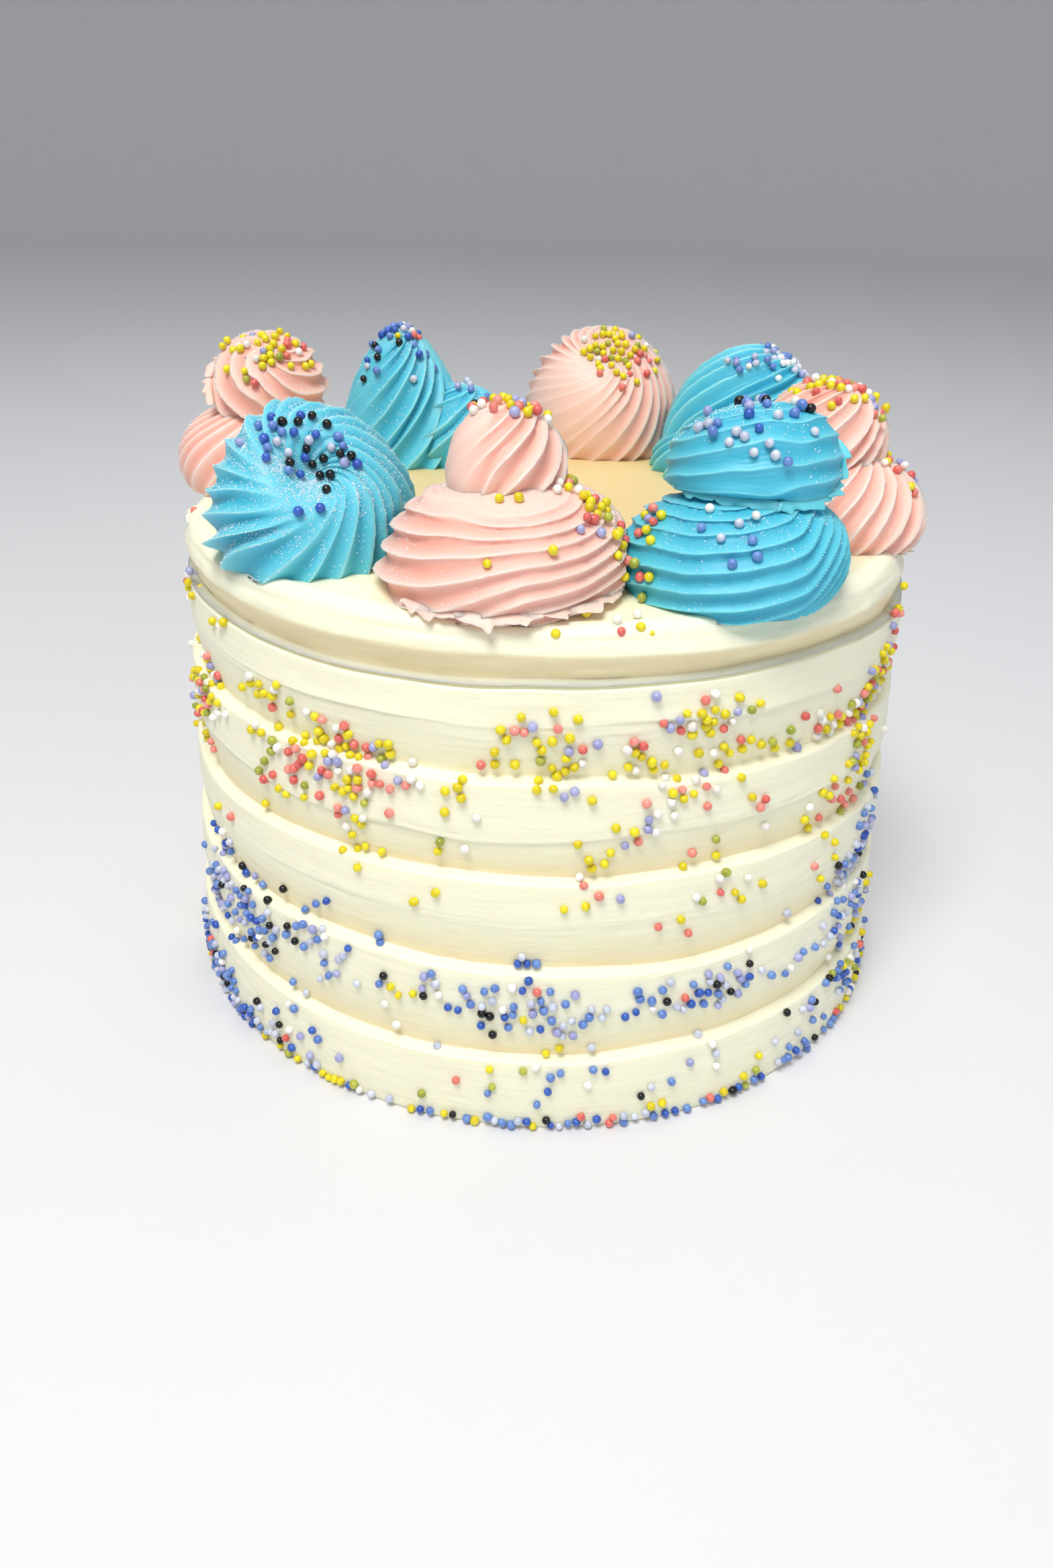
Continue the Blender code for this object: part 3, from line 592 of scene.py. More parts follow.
def tier_rings(tier):
    """Rings and crest values of one squeeze of the bag.

    Radius = girth x closing of both ends x slow lumps + relief x ridge(turns), with
    turns = around x angle / one turn - along x share of the skin - hook at the last pole. On a
    fan of many ridges the columns turn with them, so each crest lies on a column."""
    fan = tier.around > 9
    columns = tier.columns or tier.around * 14
    share = 0.5 - 0.5 * np.cos(np.pi * np.linspace(0.0, 1.0, tier.rings))
    place, direction = curve_through(tier.path, share)
    first = np.clip(1.0 - share / tier.closing[0], 0.0, 1.0) ** tier.blunt[0]
    last = np.clip(1.0 - (1.0 - share) / tier.closing[1], 0.0, 1.0) ** tier.blunt[1]
    girth = (1.0 - first) ** (1.0 / tier.blunt[0]) * (1.0 - last) ** (1.0 / tier.blunt[1])
    length = np.linalg.norm(np.subtract(tier.path[-1], tier.path[0]))
    step = np.hypot(np.diff(share) * length, np.diff(girth) * tier.girth)
    skin = np.concatenate([[0.0], np.cumsum(step)]) / step.sum()
    place = place - direction * (tier.dimple * np.exp(-((1.0 - skin) / 0.10) ** 2))[:, None]
    across = np.cross(direction, (0.0, 1.0, 0.0))
    across /= np.linalg.norm(across, axis=-1, keepdims=True)
    upright = np.cross(direction, across)
    corner, level = np.meshgrid(circle(columns), skin)
    spot = np.stack([np.cos(corner), np.sin(corner), 1.6 * level], -1)
    one_ridge = 2.0 * np.pi / tier.around
    quick = 0.10 if fan else 0.05
    warp = 0.38 * smooth_noise(spot, 0.5, tier.seed) + quick * smooth_noise(spot, 0.2, tier.seed + 5)
    hook = tier.hook * np.exp(-(np.clip(1.0 - level, 0.0, 1.0) / 0.16) ** 1.5)
    if fan:
        angle = corner + one_ridge * (tier.along * level + warp) + hook
        turns = tier.around * corner / (2.0 * np.pi)
    else:
        angle = corner
        level_at, share_level = np.radians(tier.sweep[0]), tier.sweep[1]
        run = corner - share_level * np.sin(corner - level_at)
        crossed, drawn = level, 0.0
        if tier.gather:
            drawn = tier.gather[3] * near_angle(corner, *tier.gather[:2])
            crossed = level + drawn * (level - tier.gather[2])
        turns = run / one_ridge - tier.along * crossed + warp
    spot = np.stack([np.cos(angle), np.sin(angle), 1.6 * level], -1)
    body = tier.girth * girth[:, None]
    faded = 0.45 if tier.dimple else 0.3
    relief = tier.relief * np.clip(body / (faded * tier.girth), 0.0, 1.0)
    relief = relief * (1.0 + 0.25 * smooth_noise(spot, 0.35, tier.seed + 50))
    if tier.gather:
        relief = relief / (1.0 + 0.6 * drawn)
    if tier.flare:
        relief = relief * (1.0 + (tier.flare[2] - 1.0) * near_angle(angle, *tier.flare[:2])
                           * np.sin(np.pi * level) ** 2)
    if tier.bald:
        smooth = near_angle(angle, *tier.bald[:2]) * ease(level, *tier.bald[2:])
        relief = relief * (1.0 - 0.88 * smooth)
    crest, height = ridge(turns, tier.lean, tier.around, tier.seed + 80)
    torn = smooth_noise(spot, 0.045, tier.seed + 60)
    fine = np.sin(10.0 * np.pi * turns) * smooth_noise(spot, 0.2, tier.seed + 65)
    lumps = 0.05 * smooth_noise(spot, 0.8, tier.seed + 70)
    radius = body * (1.0 + lumps) + relief * (height * crest - 0.52)
    radius = radius + 0.20 * crest ** 4 * torn * np.clip(relief, 0.3, 1.0) + 0.05 * fine
    radius = np.maximum(radius, 0.0)
    side = (radius * np.cos(angle))[..., None] * across[:, None, :]
    front = (radius * tier.squash * np.sin(angle))[..., None] * upright[:, None, :]
    # the crest values also colour the icing: low ones get painted shade in the valleys, high ones a
    # painted highlight on the crests; smooth icing gets a middle value
    ribbed = np.clip(relief / tier.relief, 0.0, 1.0)
    return place[:, None, :] + side + front, crest * ribbed + SMOOTH_ICING * (1.0 - ribbed)


def torn_edge(tear):
    """Rings of a ragged flap that grows outwards from a bowed line.

    Its section is a flat oval whose width is a saw of slanting teeth of uneven height along the
    line, and whose rim ripples; both ends of the line close to a point."""
    along, turn = np.meshgrid(np.linspace(0.0, 1.0, 180), circle(12), indexing="ij")
    first, last = np.array(tear.first, float), np.array(tear.last, float)
    length = np.linalg.norm(last - first)
    line = np.stack([along * length / 2.0, 0.0 * along, 0.0 * along], -1)
    out = np.array(tear.out) / np.linalg.norm(tear.out)
    run = (last - first) / length
    upright = np.cross(run, out) / np.linalg.norm(np.cross(run, out))
    teeth = along * length / tear.tooth + 0.35 * smooth_noise(line, 2.0, tear.seed)
    part = teeth - np.floor(teeth)
    tall = np.random.default_rng(tear.seed).uniform(0.45, 1.0, 16)[np.floor(teeth).astype(int) % 16]
    jag = (0.22 + 0.85 * tall * part ** 1.3 * (1.0 - ease(part, 0.86, 1.0))
           + 0.10 * smooth_noise(line, 0.5, tear.seed + 1))
    ends = np.clip(np.sin(np.pi * along), 0.0, 1.0) ** 0.4
    width = tear.width * np.clip(jag, 0.08, 1.1) * ends
    reach = 0.5 - 0.5 * np.cos(turn)
    ripple = smooth_noise(line, 1.6, tear.seed + 2)
    outward = tear.bow * np.sin(np.pi * along) - 1.4 * ends * (1.0 - reach) + width * reach
    lift = 0.5 * ripple * reach + 0.5 * tear.thick * np.sin(turn) * (1.0 - 0.55 * reach) * ends
    fan = 0.35 * width * reach * (2.0 * along - 1.0)
    return (first + (last - first) * along[..., None] + outward[..., None] * out
            + lift[..., None] * upright + fan[..., None] * run)


def outwards(rings):
    """The rings, turned round if the shape they close would be inside out."""
    middle = rings.reshape(-1, 3).mean(axis=0)
    here = rings - middle
    after = np.roll(here, -1, axis=1)
    volume = np.einsum("rci,rci->", here[:-1], np.cross(after[:-1], here[1:]))
    return rings if volume > 0.0 else rings[::-1]


def seated(points, name):
    """Points of a swirl pressed flat on the cake's top and against its neighbours."""
    swirl = SWIRLS[name]
    points = points.copy()
    for other_name, other in SWIRLS.items():
        if other_name == name:
            continue
        towards = np.subtract(other.seat, swirl.seat).astype(float)
        distance = np.linalg.norm(towards)
        outward = towards / distance
        reach = distance * swirl.spread / (swirl.spread + other.spread) - 0.5 * GAP
        beyond = (points[..., :2] - swirl.seat) @ outward - reach
        points[..., :2] -= np.clip(beyond, 0.0, None)[..., None] * outward
    points[..., 2] = np.maximum(points[..., 2], SEAT_HEIGHT)
    return points


def piped_swirl(name, material):
    """One swirl of its tiers and torn edges; gives the grids of its tiers."""
    swirl = SWIRLS[name]
    shells, painted_light_tones, skins = [], [], []
    for tier in swirl.tiers:
        rings, crest = tier_rings(tier)
        rings = seated(rings, name) * MM
        shells.append(closed_grid(rings))
        painted_light_tones.append(grid_values(crest))
        skins.append(rings)
    for tear in swirl.tears:
        rings = torn_edge(tear)
        rings[..., 2] = np.maximum(rings[..., 2], SEAT_HEIGHT)
        rings = outwards(rings * MM)
        shells.append(closed_grid(rings))
        painted_light_tones.append(grid_values(np.full(rings.shape[:2], TORN_ICING)))
    piece = new_piece(name.replace("swirl", "piped"), shells, material, painted_light_tones)
    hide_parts(name)
    return skins


def skin_points(skins):
    """Points and outward normals of the grids of a swirl, less what lies inside another tier."""
    points, normals = [], []
    for rings in skins:
        up = np.gradient(rings, axis=0)
        round_about = np.roll(rings, -1, axis=1) - np.roll(rings, 1, axis=1)
        normal = np.cross(round_about, up)
        length = np.linalg.norm(normal, axis=-1, keepdims=True)
        normal = normal / np.maximum(length, 1e-12)
        points.append(rings[2:-2].reshape(-1, 3))
        normals.append(normal[2:-2].reshape(-1, 3))
    if len(skins) == 2:
        for index, other in ((0, 1), (1, 0)):
            middle = skins[other].mean(axis=1)
            reach = np.linalg.norm(skins[other] - middle[:, None, :], axis=-1).mean(axis=1)
            away = np.linalg.norm(points[index][:, None, :] - middle[None, ::6, :], axis=-1)
            outside = np.all(away > 0.97 * reach[None, ::6], axis=1)
            points[index] = points[index][outside]
            normals[index] = normals[index][outside]
    return np.concatenate(points), np.concatenate(normals)


# ---------- pearls and sugar
def mix_colours(mix, count, chance):
    """Names of so many colours drawn from a mix."""
    names = sorted(MIXES[mix])
    weights = np.array([MIXES[mix][name] for name in names], float)
    return [names[pick] for pick in chance.choice(len(names), count, p=weights / weights.sum())]


def side_pearls(chance):
    """Centres and colours of the pearls on the side, one cluster at a time, then the strays."""
    centres, colours = [], []
    for azimuth, width, height, rise, count, mix in SIDE_CLUSTERS:
        turn = azimuth + width * chance.normal(0.0, CLUSTER_SPREAD, 3 * count)
        level = height + rise * chance.normal(0.0, CLUSTER_SPREAD, 3 * count)
        spots = side_place(turn, np.clip(level, FOOT_LEVEL, HIGHEST_PEARL), PEARL_PROUD)
        spots = spots[apart(spots, PEARL_GAP)][:count]
        centres.append(spots)
        colours += mix_colours(mix, len(spots), chance)
    for low, high, mix in STRAY_BANDS:
        turn = chance.uniform(0.0, 360.0, STRAY_PEARLS)
        level = chance.uniform(low, high, STRAY_PEARLS)
        centres.append(side_place(turn, level, PEARL_PROUD))
        colours += mix_colours(mix, STRAY_PEARLS, chance)
    turn = chance.uniform(0.0, 360.0, FOOT_PEARLS)
    level = FOOT_LEVEL + np.abs(chance.normal(0.0, FOOT_SPREAD, FOOT_PEARLS))
    centres.append(side_place(turn, level, PEARL_PROUD))
    colours += mix_colours("foot", FOOT_PEARLS, chance)
    return np.concatenate(centres), colours


def top_pearls(chance):
    """Centres and colours of the pearls on the flat top, sunk a little where the lip rounds off."""
    centres, colours = [], []
    for x, y, spread, count, mix in TOP_CLUSTERS:
        spot = np.array([x, y]) + chance.normal(0.0, spread, (count, 2))
        reach = np.linalg.norm(spot, axis=1, keepdims=True)
        spot = spot * np.minimum(1.0, TOP_REACH / reach)
        sink = TOP_FALL * np.clip((reach[:, 0] - TOP_FALLS_FROM) / TOP_FALLS_OVER, 0.0, 1.0) ** 2
        level = LIP_TOP - TOP_DIP - sink + TOP_PROUD
        centres.append(np.column_stack([spot, level]) * MM)
        colours += mix_colours(mix, count, chance)
    return np.concatenate(centres), colours


def swirl_pearls(name, points, normals, chance):
    """Centres and colours of the pearls on a swirl, drawn near the middle of each cluster."""
    centres, colours = [], []
    for x, y, z, radius, count, mix in SWIRL_CLUSTERS[name]:
        away = np.linalg.norm(points - np.array([x, y, z]) * MM, axis=1)
        weight = np.exp(-0.5 * (away / (radius * MM * SWIRL_SPREAD)) ** 2)
        weight = weight * (normals[:, 2] > OVERHANG)
        picks = chance.choice(len(points), 5 * count, replace=False, p=weight / weight.sum())
        spots = points[picks] + normals[picks] * PEARL_RADIUS * MM * SWIRL_PROUD
        spots = spots[apart(spots, PEARL_GAP)][:count]
        centres.append(spots)
        colours += mix_colours(mix, len(spots), chance)
    return np.concatenate(centres), colours


def apart(centres, gap):
    """Indices of the centres, in their order, that lie more than `gap` from all kept before."""
    kept = []
    for index, centre in enumerate(centres):
        if not kept or np.min(np.linalg.norm(centres[kept] - centre, axis=1)) > gap:
            kept.append(index)
    return kept


def ball(level):
    """Points and triangles of a unit ball: an icosahedron split `level` times."""
    gold = 0.5 * (1.0 + 5.0 ** 0.5)
    points = np.array([(-1, gold, 0), (1, gold, 0), (-1, -gold, 0), (1, -gold, 0), (0, -1, gold),
                       (0, 1, gold), (0, -1, -gold), (0, 1, -gold), (gold, 0, -1), (gold, 0, 1),
                       (-gold, 0, -1), (-gold, 0, 1)], float)
    faces = np.array([(0, 11, 5), (0, 5, 1), (0, 1, 7), (0, 7, 10), (0, 10, 11), (1, 5, 9),
                      (5, 11, 4), (11, 10, 2), (10, 7, 6), (7, 1, 8), (3, 9, 4), (3, 4, 2),
                      (3, 2, 6), (3, 6, 8), (3, 8, 9), (4, 9, 5), (2, 4, 11), (6, 2, 10),
                      (8, 6, 7), (9, 8, 1)])
    for _ in range(level):
        corners = points[faces]
        middles = 0.5 * (corners + np.roll(corners, -1, axis=1))
        every = np.concatenate([corners, middles], axis=1).reshape(-1, 3)
        points, index = np.unique(every.round(6), axis=0, return_inverse=True)
        a, b, c, ab, bc, ca = index.reshape(-1, 6).T
        faces = np.concatenate([np.stack(f, -1) for f in ((a, ab, ca), (b, bc, ab), (c, ca, bc),
                                                          (ab, bc, ca))])
    return points / np.linalg.norm(points, axis=1, keepdims=True), faces


def scattered(shape, centres, radii, stretch, chance):
    """One shell of many copies of a small shape, each turned, sized and stretched its own way."""
    points, faces = shape
    count = len(centres)
    turn = chance.normal(size=(count, 4))
    turn /= np.linalg.norm(turn, axis=1, keepdims=True)
    w, x, y, z = turn.T
    matrix = np.stack([
        np.stack([1 - 2 * (y * y + z * z), 2 * (x * y - z * w), 2 * (x * z + y * w)], -1),
        np.stack([2 * (x * y + z * w), 1 - 2 * (x * x + z * z), 2 * (y * z - x * w)], -1),
        np.stack([2 * (x * z - y * w), 2 * (y * z + x * w), 1 - 2 * (x * x + y * y)], -1)], -2)
    sized = points[None] * (radii[:, None] * stretch)[:, None, :]
    placed = np.einsum("nij,nkj->nki", matrix, sized) + centres[:, None, :]
    every = (faces[None] + len(points) * np.arange(count)[:, None, None]).reshape(-1, 3)
    return placed.reshape(-1, 3), np.zeros((0, 4), int), every


# ---------- materials
def linear(red, green, blue):
    """Colour value from display values of 0 to 255."""
    values = np.array([red, green, blue]) / 255.0
    values = np.where(values < 0.04045, values / 12.92, ((values + 0.055) / 1.055) ** 2.4)
    return (*values.tolist(), 1.0)


def wire(tree, *links):
    """Join each (from node, output, to node, input)."""
    for source, output, target, socket in links:
        tree.links.new(source.outputs[output], target.inputs[socket])


def set_inputs(node, values):
    """Set a node's inputs by name or number."""
    for socket, value in values.items():
        node.inputs[socket].default_value = value


def new_node(tree, kind, values=None, **settings):
    """Shader node of a kind, with values on its inputs and settings of its own."""
    node = tree.nodes.new("ShaderNode" + kind)
    for setting, value in settings.items():
        setattr(node, setting, value)
    set_inputs(node, values or {})
    return node


def new_material(name, values):
    """Material with these values on its Principled shader; gives it, its tree and the shader."""
    material = bpy.data.materials.new(name)
    material.use_nodes = True
    shader = material.node_tree.nodes["Principled BSDF"]
    set_inputs(shader, values)
    return material, material.node_tree, shader


def grain_group():
    """Group "icing grain": two soft colours mottled, with the deep colour painted in as shade where
    the tone input is low and the pale colour painted on the very crest as highlight and sugar frost,
    and a normal with fine pits and streaks stretched by `Stretch`."""
    group = bpy.data.node_groups.new("icing grain", "ShaderNodeTree")
    for way, kind, names in (
            ("INPUT", "Color", ("Light", "Painted Shade", "Painted Highlight And Frost")), ("INPUT", "Float", ("Painted Light Tone",)),
            ("INPUT", "Vector", ("Stretch",)), ("INPUT", "Float", ("Streaks", "Pits")),
            ("OUTPUT", "Color", ("Colour",)), ("OUTPUT", "Float", ("Roughness",)),
            ("OUTPUT", "Vector", ("Normal",))):
        for name in names:
            group.interface.new_socket(name, in_out=way, socket_type="NodeSocket" + kind)
    inlet = group.nodes.new("NodeGroupInput")
    outlet = group.nodes.new("NodeGroupOutput")
    coords = new_node(group, "TexCoord")
    stretched = new_node(group, "VectorMath", operation="MULTIPLY")
    mottle = new_node(group, "TexNoise", {"Scale": 70.0, "Detail": 4.0})
    streaks = new_node(group, "TexNoise", {"Scale": 900.0, "Detail": 3.0})
    pits = new_node(group, "TexNoise", {"Scale": 1600.0, "Detail": 2.0})
    # painted shade: the mottle plus the crest tone sets how far the deep colour comes in
    depth = new_node(group, "Math", {1: 0.35}, operation="MULTIPLY_ADD")
    colour = new_node(group, "Mix", data_type="RGBA")
    # painted highlight with sugar frost: the pale colour on the very crest and the brightest faces
    highlight_frost_mask = new_node(group, "MapRange", {"From Min": 0.80, "To Max": 0.75})
    highlight_frost_mix = new_node(group, "Mix", data_type="RGBA")
    rough = new_node(group, "MapRange", {"To Min": 0.36, "To Max": 0.58})
    streak_bump = new_node(group, "Bump", {"Distance": 0.0004})
    pit_bump = new_node(group, "Bump", {"Distance": 0.0002})
    # the Mix nodes' colours are their inputs 6 and 7 and their output 2
    wire(group,
         (coords, "Object", stretched, 0), (inlet, "Stretch", stretched, 1),
         (coords, "Object", mottle, "Vector"), (stretched, 0, streaks, "Vector"),
         (coords, "Object", pits, "Vector"),
         (mottle, "Fac", depth, 0), (inlet, "Painted Light Tone", depth, 2),
         (depth, 0, colour, 0), (inlet, "Painted Shade", colour, 6), (inlet, "Light", colour, 7),
         (inlet, "Painted Light Tone", highlight_frost_mask, "Value"),
         (highlight_frost_mask, "Result", highlight_frost_mix, 0), (colour, 2, highlight_frost_mix, 6), (inlet, "Painted Highlight And Frost", highlight_frost_mix, 7),
         (highlight_frost_mix, 2, outlet, "Colour"),
         (mottle, "Fac", rough, "Value"), (rough, "Result", outlet, "Roughness"),
         (streaks, "Fac", streak_bump, "Height"), (inlet, "Streaks", streak_bump, "Strength"),
         (pits, "Fac", pit_bump, "Height"), (inlet, "Pits", pit_bump, "Strength"),
         (streak_bump, "Normal", pit_bump, "Normal"), (pit_bump, "Normal", outlet, "Normal"))
    return group


def icing_material(name, grain, look, scatter):
    """Soft fat icing: grain group into a Principled shader that lets light in a little way."""
    material, tree, shader = new_material(name, {
        "Subsurface Weight": 0.55, "Subsurface Radius": scatter, "Subsurface Scale": 0.0020,
        "Specular IOR Level": 0.42})
    finish = new_node(tree, "Group", look, node_tree=grain)
    # the crest attribute is the painted shade and highlight tone of the colour
    crest = new_node(tree, "Attribute", attribute_name="crest")
    wire(tree, (crest, "Fac", finish, "Painted Light Tone"), (finish, "Colour", shader, "Base Color"),
         (finish, "Roughness", shader, "Roughness"), (finish, "Normal", shader, "Normal"))
    return material


def colour_ramp(tree, deep, light, stops=(0.0, 1.0)):
    """Ramp node from a deep colour to a light one between two stops."""
    ramp = new_node(tree, "ValToRGB")
    for element, stop, colour in zip(ramp.color_ramp.elements, stops, (deep, light)):
        element.position = stop
        element.color = linear(*colour)
    return ramp


def pearl_material(name, light, deep):
    """Polished sugar shell: slightly mottled colour under a thin clear coat."""
    material, tree, shader = new_material(name, {
        "Specular IOR Level": 0.35, "Roughness": 0.34, "Coat Weight": 0.4, "Coat Roughness": 0.12})
    coords = new_node(tree, "TexCoord")
    mottle = new_node(tree, "TexNoise", {"Scale": 420.0, "Detail": 2.0})
    colour = colour_ramp(tree, deep, light, (0.38, 0.60))
    dents = new_node(tree, "TexNoise", {"Scale": 1500.0})
    bump = new_node(tree, "Bump", {"Strength": 0.25, "Distance": 0.0003})
    wire(tree, (coords, "Object", mottle, "Vector"), (mottle, "Fac", colour, "Fac"),
         (colour, "Color", shader, "Base Color"), (coords, "Object", dents, "Vector"),
         (dents, "Fac", bump, "Height"), (bump, "Normal", shader, "Normal"))
    return material


def sugar_material():
    """Clear sanding sugar: bright, sharp little faces."""
    material, tree, shader = new_material("sanding_sugar", {
        "Roughness": 0.08, "Specular IOR Level": 0.8})
    coords = new_node(tree, "TexCoord")
    tone = new_node(tree, "TexNoise", {"Scale": 900.0})
    colour = colour_ramp(tree, (214, 232, 240), (255, 255, 255))
    wire(tree, (coords, "Object", tone, "Vector"), (tone, "Fac", colour, "Fac"),
         (colour, "Color", shader, "Base Color"))
    return material


# light and deep tone of each pearl, as display values
PEARL_COLOURS = {
    "yellow": ((240, 224, 26), (218, 198, 14)),
    "coral": ((236, 122, 110), (214, 92, 86)),
    "salmon": ((246, 156, 142), (232, 126, 114)),
    "olive": ((186, 190, 74), (150, 158, 52)),
    "white": ((252, 250, 244), (232, 228, 220)),
    "lavender": ((176, 178, 220), (150, 154, 202)),
    "periwinkle": ((112, 148, 212), (90, 124, 196)),
    "royal": ((58, 102, 194), (42, 78, 172)),
    "silver": ((212, 217, 230), (184, 191, 212)),
    "black": ((5, 5, 7), (2, 2, 3)),
}

# light tone; deep tone, painted as shade in valleys, hollows, under the lip and among the swirls; pale
# tone, painted as highlight on crests and bright faces, with sugar frost on the piping; all as display
# values;
# stretch, streaks and pits of the grain, and how far red, green and blue light goes in
ICINGS = {
    "ivory_buttercream": ((253, 246, 213), (231, 207, 149), (253, 247, 220),
                          (0.08, 0.08, 1.0), 0.5, 0.25, (1.0, 0.85, 0.55)),
    "pink_piping_icing": ((246, 212, 198), (240, 166, 146), (250, 232, 224),
                          (1.0, 1.0, 1.0), 0.12, 0.2, (1.0, 0.5, 0.4)),
    "blue_piping_icing": ((108, 208, 226), (52, 176, 206), (170, 224, 232),
                          (1.0, 1.0, 1.0), 0.12, 0.2, (0.35, 0.8, 1.0)),
}

# ---------- stage, light and camera
FLOOR_RADII = (0.0, 0.4, 1.2, 2.0)
FLOOR_CURVE = 0.8
# name, place, size, power and tone, all aimed at one place
LIGHTS = (
    ("key_light", (-0.2, -0.55, 1.15), 0.5, 13.0, (1.0, 0.985, 0.96)),
    ("fill_light", (0.65, -0.85, 0.45), 0.8, 2.1, (0.82, 0.90, 1.0)),
    ("top_light", (0.1, 0.35, 1.1), 0.6, 1.6, (1.0, 1.0, 1.0)),
)
LIGHT_AIM = (0.0, 0.0, 0.08)
ROOM_TONE = (0.92, 0.95, 1.0, 1.0)
ROOM_STRENGTH = 0.36
# place in mm, pitch, roll and yaw in degrees, and focal length
CAMERA_PLACE = (1.56, -262.59, 178.42)
CAMERA_TURN = (28.842, 1.532, 0.986)
CAMERA_LENS = 27.06


# ---------- building
def build_cake(material):
    """The buttercream cake with the torn bits on its lip."""
    rings, painted_shade_tones = cake_rings()
    shells, painted_light_tones = [closed_grid(rings)], [grid_values(painted_shade_tones)]
    for tear in LIP_TEARS:
        rings = outwards(torn_edge(tear) * MM)
        shells.append(closed_grid(rings))
        painted_light_tones.append(grid_values(np.full(rings.shape[:2], TORN_LIP)))
    piece = new_piece("buttercream_cake", shells, material, painted_light_tones)
    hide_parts("iced_cake")


def build_pearls(skins, chance):
    """One piece for each colour of pearl, from all the clusters and strays."""
    drawn = [side_pearls(chance), top_pearls(chance)]
    drawn += [swirl_pearls(name, *skin_points(skins[name]), chance) for name in SWIRLS]
    centres = np.concatenate([places for places, _ in drawn])
    colours = np.array([colour for _, names in drawn for colour in names])
    kept = apart(centres, PEARL_GAP)
    centres, colours = centres[kept], colours[kept]
    shape = ball(1)
    for colour, (light, deep) in PEARL_COLOURS.items():
        own = centres[colours == colour]
        radii = PEARL_RADIUS * MM * chance.uniform(0.90, 1.10, len(own))
        stretch = chance.normal(1.0, 0.045, (len(own), 3))
        shell = scattered(shape, own, radii, stretch, chance)
        new_piece("pearls_" + colour, [shell], pearl_material(colour + "_sugar_shell", light, deep))


def build_sugar(skins, chance):
    """Small flat-faced octahedra strewn in drifts on the upper faces of the swirls."""
    corners = [(1, 0, 0), (0, 1, 0), (-1, 0, 0), (0, -1, 0), (0, 0, 1), (0, 0, -1)]
    sides = [(0, 1, 4), (1, 2, 4), (2, 3, 4), (3, 0, 4), (1, 0, 5), (2, 1, 5), (3, 2, 5), (0, 3, 5)]
    centres = []
    for name, count in GRAINS.items():
        points, normals = skin_points(skins[name])
        weight = np.clip(normals[:, 2] + 0.15, 0.0, None) ** 1.5
        weight = weight * (0.2 + ease(smooth_noise(points, DRIFT_SIZE, 77), -0.1, 0.5))
        picks = chance.choice(len(points), count, replace=False, p=weight / weight.sum())
        centres.append(points[picks] + normals[picks] * GRAIN_PROUD * MM)
    centres = np.concatenate(centres)
    radii = GRAIN_RADIUS * MM * chance.uniform(0.6, 1.3, len(centres))
    stretch = chance.uniform(0.7, 1.3, (len(centres), 3))
    shape = np.array(corners, float), np.array(sides)
    shell = scattered(shape, centres, radii, stretch, chance)
    piece = new_piece("sanding_sugar_grains", [shell], sugar_material())
    piece.data.polygons.foreach_set("use_smooth", np.zeros(len(piece.data.polygons), bool))


def build_stage():
    """Pale round floor that curves up into a low wall far behind everything: a profile of radius
    and height turned once about the upright axis."""
    turn = circle(96)
    bend = np.linspace(0.0, 0.5 * np.pi, 12)[1:]
    flat, curve = FLOOR_RADII[-1], FLOOR_CURVE
    radii = np.concatenate([FLOOR_RADII, flat + curve * np.sin(bend), [flat + curve]])
    heights = np.concatenate([0.0 * np.array(FLOOR_RADII), curve - curve * np.cos(bend),
                              [2.0 * curve]])
    rings = np.stack([radii[:, None] * np.cos(turn), radii[:, None] * np.sin(turn),
                      heights[:, None] + 0.0 * turn], -1)
    faces = ring_quads(*rings.shape[:2])[:, ::-1].tolist()
    material, _, _ = new_material("pale_floor", {
        "Base Color": linear(226, 226, 228), "Roughness": 0.7})
    new_object("pale_floor", new_mesh("pale_floor", rings.reshape(-1, 3), faces, material))


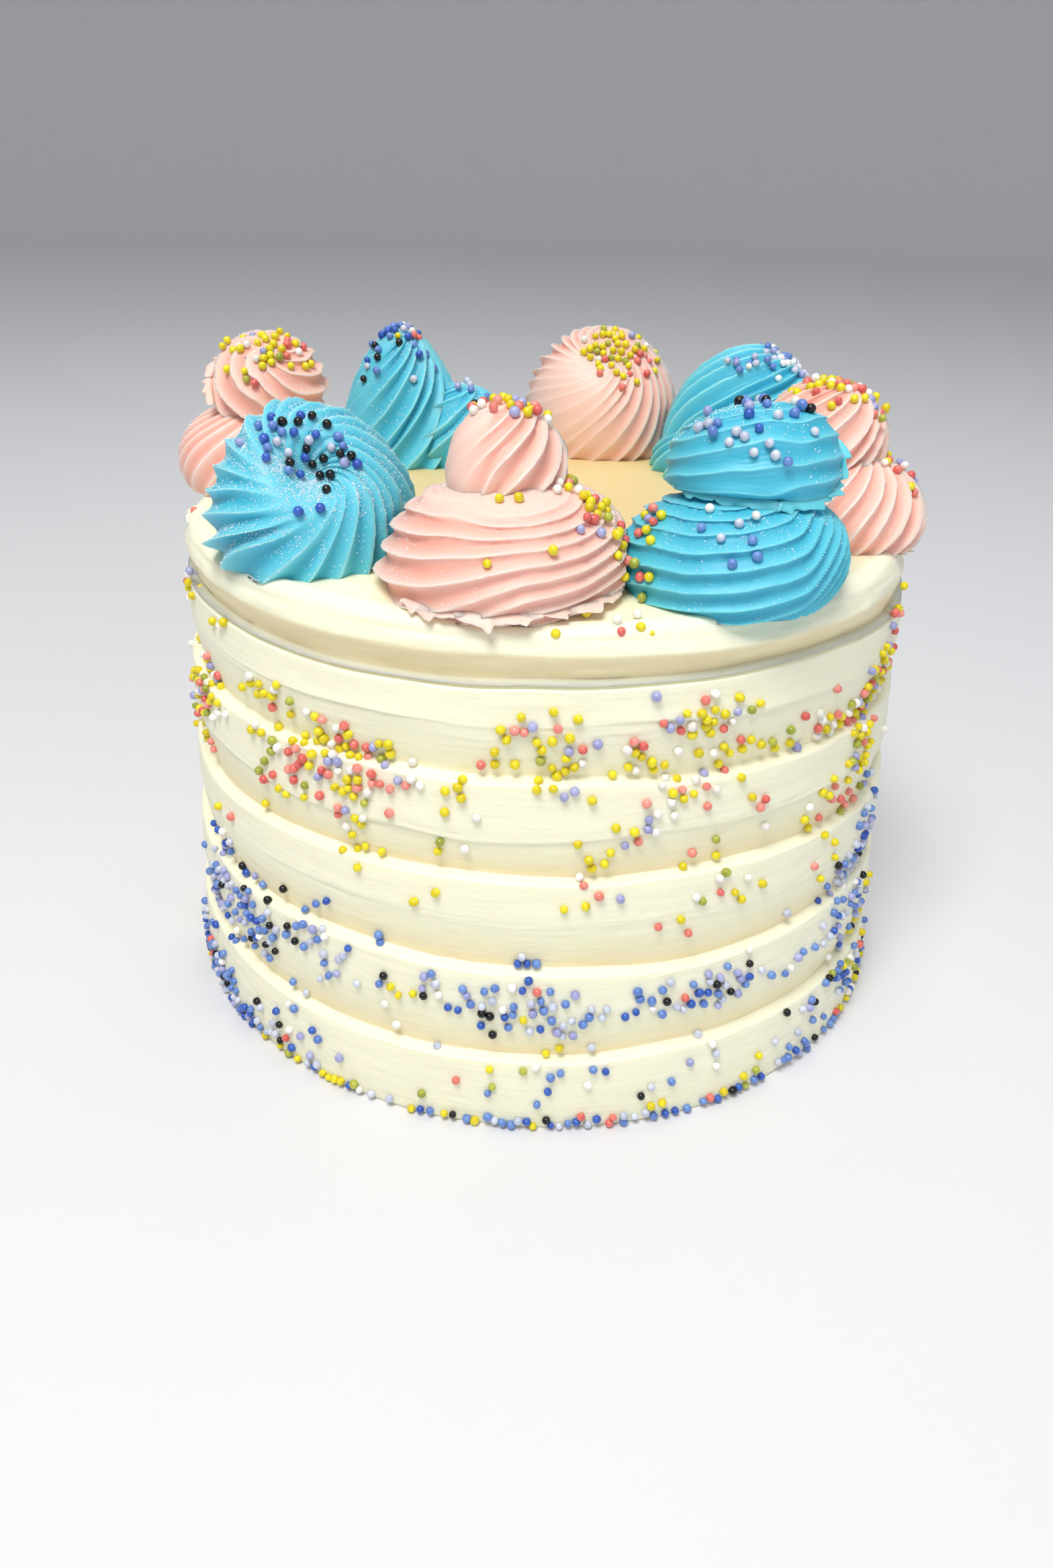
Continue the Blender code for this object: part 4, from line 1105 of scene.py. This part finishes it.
def build_light():
    """Three square area lights aimed at the cake and a dim pale room."""
    for name, place, size, power, tone in LIGHTS:
        lamp = bpy.data.lights.new(name, "AREA")
        lamp.size = size
        lamp.energy = power
        lamp.color = tone
        holder = new_object(name, lamp)
        holder.location = place
        away = holder.location - Vector(LIGHT_AIM)
        holder.rotation_euler = away.to_track_quat("Z", "Y").to_euler()
    world = bpy.data.worlds.new("soft_room")
    bpy.context.scene.world = world
    world.use_nodes = True
    set_inputs(world.node_tree.nodes["Background"], {"Color": ROOM_TONE, "Strength": ROOM_STRENGTH})
    bpy.context.scene.view_settings.view_transform = "Standard"


def build_camera():
    """Camera in front of the cake, a little above it, looking down: pitched, then turned, then
    rolled about its own axis."""
    pitch, roll, yaw = np.radians(CAMERA_TURN)
    turn = np.array([[np.cos(yaw), -np.sin(yaw), 0.0], [np.sin(yaw), np.cos(yaw), 0.0],
                     [0.0, 0.0, 1.0]])
    forward = turn @ np.array([0.0, np.cos(pitch), -np.sin(pitch)])
    level_right = turn @ np.array([1.0, 0.0, 0.0])
    level_up = turn @ np.array([0.0, np.sin(pitch), np.cos(pitch)])
    right = np.cos(roll) * level_right + np.sin(roll) * level_up
    up = -np.sin(roll) * level_right + np.cos(roll) * level_up
    lens = bpy.data.cameras.new("camera")
    lens.lens = CAMERA_LENS
    lens.sensor_width = 36.0
    lens.clip_start = 0.01
    lens.clip_end = 20.0
    camera = new_object("camera", lens)
    matrix = np.eye(4)
    matrix[:3] = np.column_stack([right, up, -forward, np.array(CAMERA_PLACE) * MM])
    camera.matrix_world = Matrix(matrix.tolist())
    bpy.context.scene.camera = camera


def main():
    """The cake, its swirls, the pearls and the sugar, then what stands round them."""
    chance = np.random.default_rng(20)
    grain = grain_group()
    icings = {name: icing_material(name, grain, {
        "Light": linear(*light), "Painted Shade": linear(*deep), "Painted Highlight And Frost": linear(*pale),
        "Stretch": stretch, "Streaks": streaks, "Pits": pits}, scatter)
        for name, (light, deep, pale, stretch, streaks, pits, scatter) in ICINGS.items()}
    build_cake(icings["ivory_buttercream"])
    skins = {name: piped_swirl(name, icings[swirl.icing + "_piping_icing"])
             for name, swirl in SWIRLS.items()}
    build_pearls(skins, chance)
    build_sugar(skins, chance)
    build_stage()
    build_light()
    build_camera()


main()
